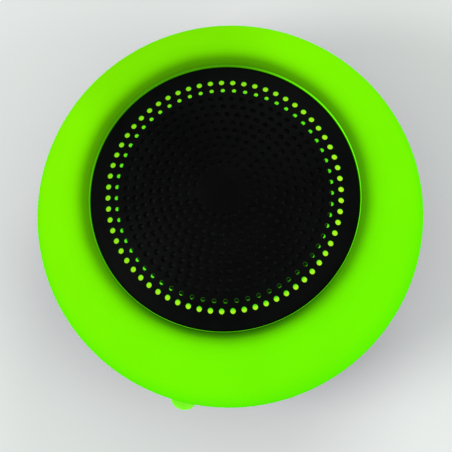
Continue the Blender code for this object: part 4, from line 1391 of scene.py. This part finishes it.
def chip_part(size, spot, turn):
    """Small surface part with a ceramic body and a tinned cap at both ends."""
    length, width, height = size
    z = BOARD_TOP_Z + height / 2.0
    cap = length * 0.2
    meshes = [soft_block((length - 2.0 * cap, width * 0.96, height * 0.94), (0.0, 0.0, z), 0.05, 1)]
    for x in (-(length - cap) / 2.0, (length - cap) / 2.0):
        meshes.append(soft_block((cap, width, height), (x, 0.0, z), 0.05, 2))
    return shift(turn_to(merged(meshes), turn), (*spot, 0.0))


def small_parts():
    """Rows beside the two chips, parts round the battery and the screws, and a coil."""
    parts = [chip_part(RESISTOR, (-12.6 - 0.1 * (i % 2), -9.6 + 1.5 * i), 90.0) for i in range(5)]
    parts += [chip_part(CAPACITOR, (13.4 + 1.6 * (i % 2), -6.6 + 1.7 * (i // 2)), 0.0)
              for i in range(6)]
    parts += [chip_part(DIODE, at_azimuth(18.4, azimuth, 0.0)[:2], azimuth + 90.0)
              for azimuth in (200, 212, 315, 327, 340)]
    parts += [chip_part(RESISTOR, at_azimuth(29.8, azimuth, 0.0)[:2], azimuth)
              for azimuth in (55, 68, 72, 88, 92, 108, 112, 125, 255, 260, 280, 285)]
    parts.append(shift(soft_block((4.0, 4.0, 1.5), (0.0, 0.0, 0.0), 0.35, 1), (16.8, -12.4, 20.75)))
    return parts


def build_main_board(steel):
    """Round board with screw holes, small parts and a coil."""
    mask = board("board_green_mask", (0.012, 0.17, 0.055), (0.006, 0.11, 0.035),
                 (0.03, 0.30, 0.10))
    ceramic = moulded("ceramic_parts", (0.32, 0.24, 0.16), (0.24, 0.17, 0.11), 0.5)
    disc = lathe(filleted([(0.0, BOARD_BOTTOM_Z, 0.0), (BOARD_R, BOARD_BOTTOM_Z, 0.12),
                           (BOARD_R, BOARD_TOP_Z, 0.12), (0.0, BOARD_TOP_Z, 0.0)]), 144)
    main_board = mesh_object("main_board_populated", disc, (mask, ceramic, steel))
    holes = uprights(1.4, POST_RING_R, POST_AZIMUTHS, 17.0, 22.0)
    combined(main_board, [("DIFFERENCE", holes)])
    attached(main_board, small_parts())
    settle(main_board, "speaker", "main_board")


def radio_chip(x, y):
    """Flat square chip with a row of pads along each side."""
    meshes = [soft_block((6.7, 6.7, 0.85), (x, y, 20.77), 0.08)]
    for turn in range(4):
        pads = [soft_block((0.4, 0.3, 0.2), (3.3, -2.5 + 0.5 * i, 20.4), 0.03, 1)
                for i in range(11)]
        meshes.append(shift(turn_to(merged(pads), 90.0 * turn), (x, y, 0.0)))
    return merged(meshes)


def amplifier_chip(x, y):
    """Chip with gull-wing leads along two sides."""
    meshes = [soft_block((4.0, 3.9, 0.95), (x, y, 20.92), 0.1)]
    for side in (-1, 1):
        for size, reach, z in (((0.55, 0.28, 0.15), 2.22, 20.38), ((0.2, 0.28, 0.5), 2.02, 20.6)):
            meshes += [soft_block(size, (x + side * reach, y - 1.6 + 0.65 * i, z), 0.03, 1)
                       for i in range(6)]
    return merged(meshes)


def build_chips(steel):
    """Radio and amplifier, each with a dimple that marks its first pin."""
    epoxy = moulded("chip_epoxy_body", (0.026, 0.026, 0.028), (0.016, 0.016, 0.018), 0.56)
    for name, node, bm, dimple in (
            ("bluetooth_chip_leadless", "bluetooth_chip", radio_chip(-8.0, -6.0), (-10.4, -3.6)),
            ("amplifier_chip_leaded", "amplifier_chip", amplifier_chip(9.0, -4.0), (7.7, -2.7))):
        chip = mesh_object(name, bm, (epoxy, steel))
        combined(chip, [("DIFFERENCE", rod(0.35, (*dimple, 21.1), (*dimple, 22.0)))])
        settle(chip, "speaker", node)


def build_usb_socket(steel):
    """Steel shell with its mouth towards the port and a tongue of contacts inside."""
    mid_z = BOARD_TOP_Z + GAP + 1.6
    shell = loft(pill_rings(((4.3, 1.4, 27.0), (4.5, 1.6, 27.2), (4.5, 1.6, 34.3), (4.4, 1.5, 34.4),
                             (4.25, 1.35, 34.4), (4.1, 1.2, 34.2), (4.1, 1.2, 28.2)), mid_z))
    tongue = [soft_block((5.0, 6.4, 0.7), (30.9, 0.0, mid_z), 0.12, 1)]
    tongue += [soft_block((3.4, 0.26, 0.08), (31.2, -2.5 + 0.5 * i, mid_z + side * 0.36), 0.02, 2)
               for i in range(11) for side in (-1, 1)]
    liner = soft_black("socket_liner", 0.5)
    gold = metal("contact_gold", (0.86, 0.62, 0.22), (0.74, 0.50, 0.16), 0.24)
    piece("usb_socket_shell", turn_to(merged([shell] + tongue), PORT_AZIMUTH), (steel, liner, gold),
          "speaker", "usb_socket")


def build_microphone():
    """Rubber-sleeved capsule with its sound hole towards the wall."""
    sleeve = soft_black("microphone_sleeve", 0.6)
    rings = [flat_ring(circle((0.0, 0.0), radius, 40), x, MIC_Z)
             for x, radius in ((31.4, 1.7), (31.5, 1.85), (31.8, 1.9), (33.1, 1.9), (33.3, 1.82),
                               (33.4, 1.65), (33.4, 1.3), (33.15, 1.2), (33.15, 0.5), (32.6, 0.42))]
    piece("microphone_capsule", turn_to(loft(rings), MIC_AZIMUTH), (sleeve,), "speaker",
          "microphone")


def build_tact_switches(steel):
    """Side-pressed switches: black body, steel face plate, legs and plunger."""
    black = moulded("switch_body", (0.022, 0.022, 0.023), (0.014, 0.014, 0.015), 0.5)
    base = BOARD_TOP_Z + GAP
    plunger_z = BUTTON_Z + 0.3
    for number, (_, _, azimuth, _) in enumerate(BUTTONS, 1):
        meshes = [soft_block((3.0, 5.9, 2.9), (31.0, 0.0, base + 1.5), 0.15),
                  soft_block((0.35, 6.0, 3.0), (32.75, 0.0, base + 1.5), 0.08, 1),
                  rod(0.8, (32.8, 0.0, plunger_z), (34.5, 0.0, plunger_z)),
                  rod(0.6, (34.4, 0.0, plunger_z), (34.6, 0.0, plunger_z))]
        meshes += [soft_block((0.5, 0.7, 0.25), (29.65, side * 2.0, base + 0.14), 0.04, 1)
                   for side in (-1, 1)]
        piece("tact_switch_%d_side" % number, turn_to(merged(meshes), azimuth), (black, steel),
              "speaker", "tact_switch_%d" % number)


def build_led_board():
    """White ring of board that carries the lamps."""
    mask = board("board_white_mask", (0.82, 0.82, 0.80), (0.74, 0.74, 0.72), (0.90, 0.90, 0.86))
    (inner_r, outer_r), (low, high) = LED_BOARD_R, LED_BOARD_Z
    corners = [(inner_r, low, 0.12), (outer_r, low, 0.12), (outer_r, high, 0.12),
               (inner_r, high, 0.12)]
    piece("led_board_ring", lathe(filleted(corners), FINE), (mask,), "speaker",
          "led_board")


def lamp_package(low):
    """Square body with a sunk round window on top."""
    rings = [level_ring(rounded_box(half, half, power), low + z)
             for half, power, z in ((2.34, 9.0, 0.0), (2.4, 9.0, 0.12), (2.4, 9.0, 1.5),
                                    (2.3, 9.0, 1.6), (1.9, 2.0, 1.6), (1.7, 2.0, 1.3),
                                    (1.1, 2.0, 1.36), (0.5, 2.0, 1.38))]
    package = loft(rings)
    for face in package.faces:
        middle = face.calc_center_median()
        if middle.z > (low + 1.2) * MM and middle.xy.length < 1.75 * MM:
            face.material_index = 1
    return package


def build_leds(steel):
    """Square lamp packages, each with a round lit window and two solder lugs on both sides."""
    white = moulded("led_package_white", (0.80, 0.80, 0.76), (0.72, 0.72, 0.69), 0.42)
    glow = lit_led()
    low = LED_BOARD_Z[1] + GAP
    for i in range(8):
        lugs = [soft_block((0.9, 0.5, 0.35), (x, y, low + 0.18), 0.06, 2)
                for x in (-1.4, 1.4) for y in (-2.25, 2.25)]
        lamp = shift(merged([lamp_package(low)] + lugs), (LED_RING_R, 0.0, 0.0))
        piece("led_%d_package" % (i + 1), turn_to(lamp, 22.5 + 45.0 * i), (white, glow, steel),
              "speaker", "led_%d" % (i + 1))


def build_battery():
    """Foil pouch with a pinched seal and amber tape where its leads leave, on a foam pad."""
    foil = metal("cell_foil_pouch", (0.60, 0.63, 0.67), (0.48, 0.51, 0.55), 0.34)
    tape = moulded("amber_tape", (0.62, 0.30, 0.03), (0.52, 0.24, 0.02), 0.3)
    mid_y, mid_z = 19.1, 16.55
    tape_end_x = -10.5 * MM
    rings = []
    for x, half_w, half_h in ((-16.0, 9.0, 0.22), (-14.6, 9.1, 0.25), (-14.2, 9.3, 1.2),
                              (-13.6, 9.5, 1.7), (-12.8, 9.5, 1.85), (-10.4, 9.5, 1.85),
                              (12.0, 9.5, 1.85), (14.6, 9.5, 1.8), (15.6, 9.4, 1.5), (16.0, 9.2, 1.0)):
        outline = rounded_box(half_w, half_h, 7.0, 64)
        rings.append([(x, mid_y + y, mid_z + z) for y, z in outline])
    cell = mesh_object("battery_pouch", loft(rings), (foil, tape))
    for face in cell.data.polygons:
        if face.center.x < tape_end_x:
            face.material_index = 1
    settle(cell, "speaker", "battery")
    piece("battery_foam_pad", soft_block((26.0, 15.0, 0.6), (0.0, 17.5, 14.1), 0.15), (foam(),),
          "speaker", "battery_foam")


# ---------------------------------------------------------------- leads

def build_leads(steel):
    """Insulated wires with stripped and tinned ends."""
    red = moulded("wire_red_pvc", (0.58, 0.025, 0.02), (0.46, 0.015, 0.015), 0.42)
    black = moulded("wire_black_pvc", (0.024, 0.024, 0.024), (0.015, 0.015, 0.015), 0.42)
    foot = BOARD_TOP_Z + GAP
    for name, x, mat in (("speaker_lead_red", LEAD_X, red), ("speaker_lead_black", -LEAD_X, black)):
        lead(name, [(x, LEAD_Y, foot), (x, LEAD_Y, 23.5), (x, -20.9, 29.0), (x * 1.3, -20.6, 34.5),
                    (x * 3.1, -18.4, 37.6)], 0.55, mat, steel)
    lead("battery_lead_red", [(-16.3, 13.0, 16.2), (-18.4, 12.2, 16.5), (-19.2, 8.0, 17.2),
                              (-18.6, 4.5, 18.1)], 0.45, red, steel)
    lead("battery_lead_black", [(-16.3, 10.9, 16.2), (-17.2, 10.3, 16.5), (-17.5, 7.5, 17.2),
                                (-16.9, 4.5, 18.1)], 0.45, black, steel)


def lead(name, points, radius, mat, steel):
    path = smooth_curve(points, 10)
    wire = merged([tube(path[3:-3], radius), tube(path, radius * 0.55, 12, 1)])
    piece(name + "_insulated", wire, (mat, steel), "speaker", name)


def build_port_strap():
    """Thin silicone hinge between the tub's wall and the flap's lower edge."""
    rings = []
    for z, offset, half_width in ((17.3, -0.75, 1.0), (17.6, -0.5, 1.6), (17.78, -0.27, 2.05),
                                  (17.95, -0.17, 2.35), (18.15, -0.15, 2.5), (18.4, -0.25, 2.6),
                                  (18.6, -0.4, 2.7)):
        radius = outer_radius(z) + offset
        rings.append([(radius + 0.22 * v, half_width * u, z)
                      for u, v in rounded_box(1.0, 1.0, 4.0, 32)])
    strap = mesh_object("port_cover_strap", turn_to(loft(rings), PORT_AZIMUTH),
                        (cover_silicone("strap_silicone_lit", 0.0),), 50.0)
    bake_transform(strap, "speaker", "port_flap", start=(0.0, -40.2 * MM, 17.75 * MM),
             end=(0.0, -40.4 * MM, 18.35 * MM))


def dress_rest():
    """Give the CAD nodes that still show, which are all foam, a procedural finish."""
    finishes = {"foam": foam()}
    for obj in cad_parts.values():
        if obj.hide_render:
            continue
        for index, mat in enumerate(obj.data.materials):
            obj.data.materials[index] = finishes[mat.name.split(".")[0]]


# ---------------------------------------------------------------- stage

def floor_material():
    mat, tree, shader = start_material("pale_floor", Roughness=0.75, Specular_IOR_Level=0.15)
    clouds = noise(tree, 6.0, 3.0)
    feed(tree, shader, Base_Color=mixed(tree, clouds, (0.82, 0.82, 0.81), (0.87, 0.87, 0.86)))
    return mat


def build_floor():
    bm = bmesh.new()
    bmesh.ops.create_circle(bm, cap_ends=True, radius=6.0, segments=64)
    floor = mesh_object("floor", bm, (floor_material(),))


WORLD_COLOUR = (0.93, 0.95, 1.0, 1.0)
WORLD_STRENGTH = 0.58
LIGHT_TARGET = (0.0, 0.0, 0.03)
# Name, place in metres, diameter and watts of each studio light
LIGHTS = (("key", (-1.9, -1.4, 2.2), 1.5, 38.0),
          ("fill", (2.1, -0.6, 1.6), 2.0, 17.0),
          ("rim", (0.4, 2.3, 1.7), 1.8, 19.0))


def area_light(name, spot, size, power):
    data = bpy.data.lights.new(name, "AREA")
    data.shape = "DISK"
    data.size = size
    data.energy = power
    lamp = bpy.data.objects.new(name, data)
    lamp.location = spot
    lamp.rotation_mode = "QUATERNION"
    lamp.rotation_quaternion = (Vector(LIGHT_TARGET) - Vector(spot)).to_track_quat("-Z", "Y")
    bpy.context.scene.collection.objects.link(lamp)


def build_light():
    world = bpy.data.worlds.new("pale_world")
    world.use_nodes = True
    background = world.node_tree.nodes["Background"]
    background.inputs["Color"].default_value = WORLD_COLOUR
    background.inputs["Strength"].default_value = WORLD_STRENGTH
    bpy.context.scene.world = world
    for name, spot, size, power in LIGHTS:
        area_light(name, spot, size, power)


CAMERA_AZIMUTH = 31.5
CAMERA_ELEVATION = 78.0
CAMERA_UP_AZIMUTH = 105.0            # azimuth that points up in the frame
CAMERA_DISTANCE = 893.0
CAMERA_LEFT = 0.92                   # how far the camera is moved across the view
CAMERA_DOWN = 2.37
CAMERA_LENS = 312.2


def build_camera():
    """Looks steeply down from the port's side."""
    centre = Vector((0.0, 0.0, EQUATOR_Z * MM))
    azimuth = math.radians(CAMERA_AZIMUTH)
    elevation = math.radians(CAMERA_ELEVATION)
    back = Vector((math.sin(azimuth) * math.cos(elevation), -math.cos(azimuth) * math.cos(elevation),
                   math.sin(elevation)))
    up = Vector(at_azimuth(1.0, CAMERA_UP_AZIMUTH, 0.0))
    up = (up - back * up.dot(back)).normalized()
    right = up.cross(back)
    data = bpy.data.cameras.new("camera")
    data.sensor_width = 36.0
    data.lens = CAMERA_LENS
    data.clip_start = 0.05
    data.clip_end = 30.0
    camera = bpy.data.objects.new("camera", data)
    camera.matrix_world = Matrix((right, up, back)).transposed().to_4x4()
    away = back * CAMERA_DISTANCE - right * CAMERA_LEFT - up * CAMERA_DOWN
    camera.location = centre + away * MM
    bpy.context.scene.collection.objects.link(camera)
    bpy.context.scene.camera = camera


def main():
    bpy.context.scene.view_settings.view_transform = "Standard"
    steel = zinc_steel()
    build_diffuser_ring()
    build_front_grille()
    build_grille_cloth()
    build_lower_housing()
    build_housing_screws(steel)
    build_suction_cup()
    build_cup_stud(steel)
    build_keys()
    build_port_cover()
    build_port_strap()
    build_inner_core()
    build_turned_pieces(steel)
    build_driver_screws(steel)
    build_driver(steel)
    build_main_board(steel)
    build_chips(steel)
    build_usb_socket(steel)
    build_microphone()
    build_tact_switches(steel)
    build_led_board()
    build_leds(steel)
    build_battery()
    build_leads(steel)
    dress_rest()
    build_floor()
    build_light()
    build_camera()


main()
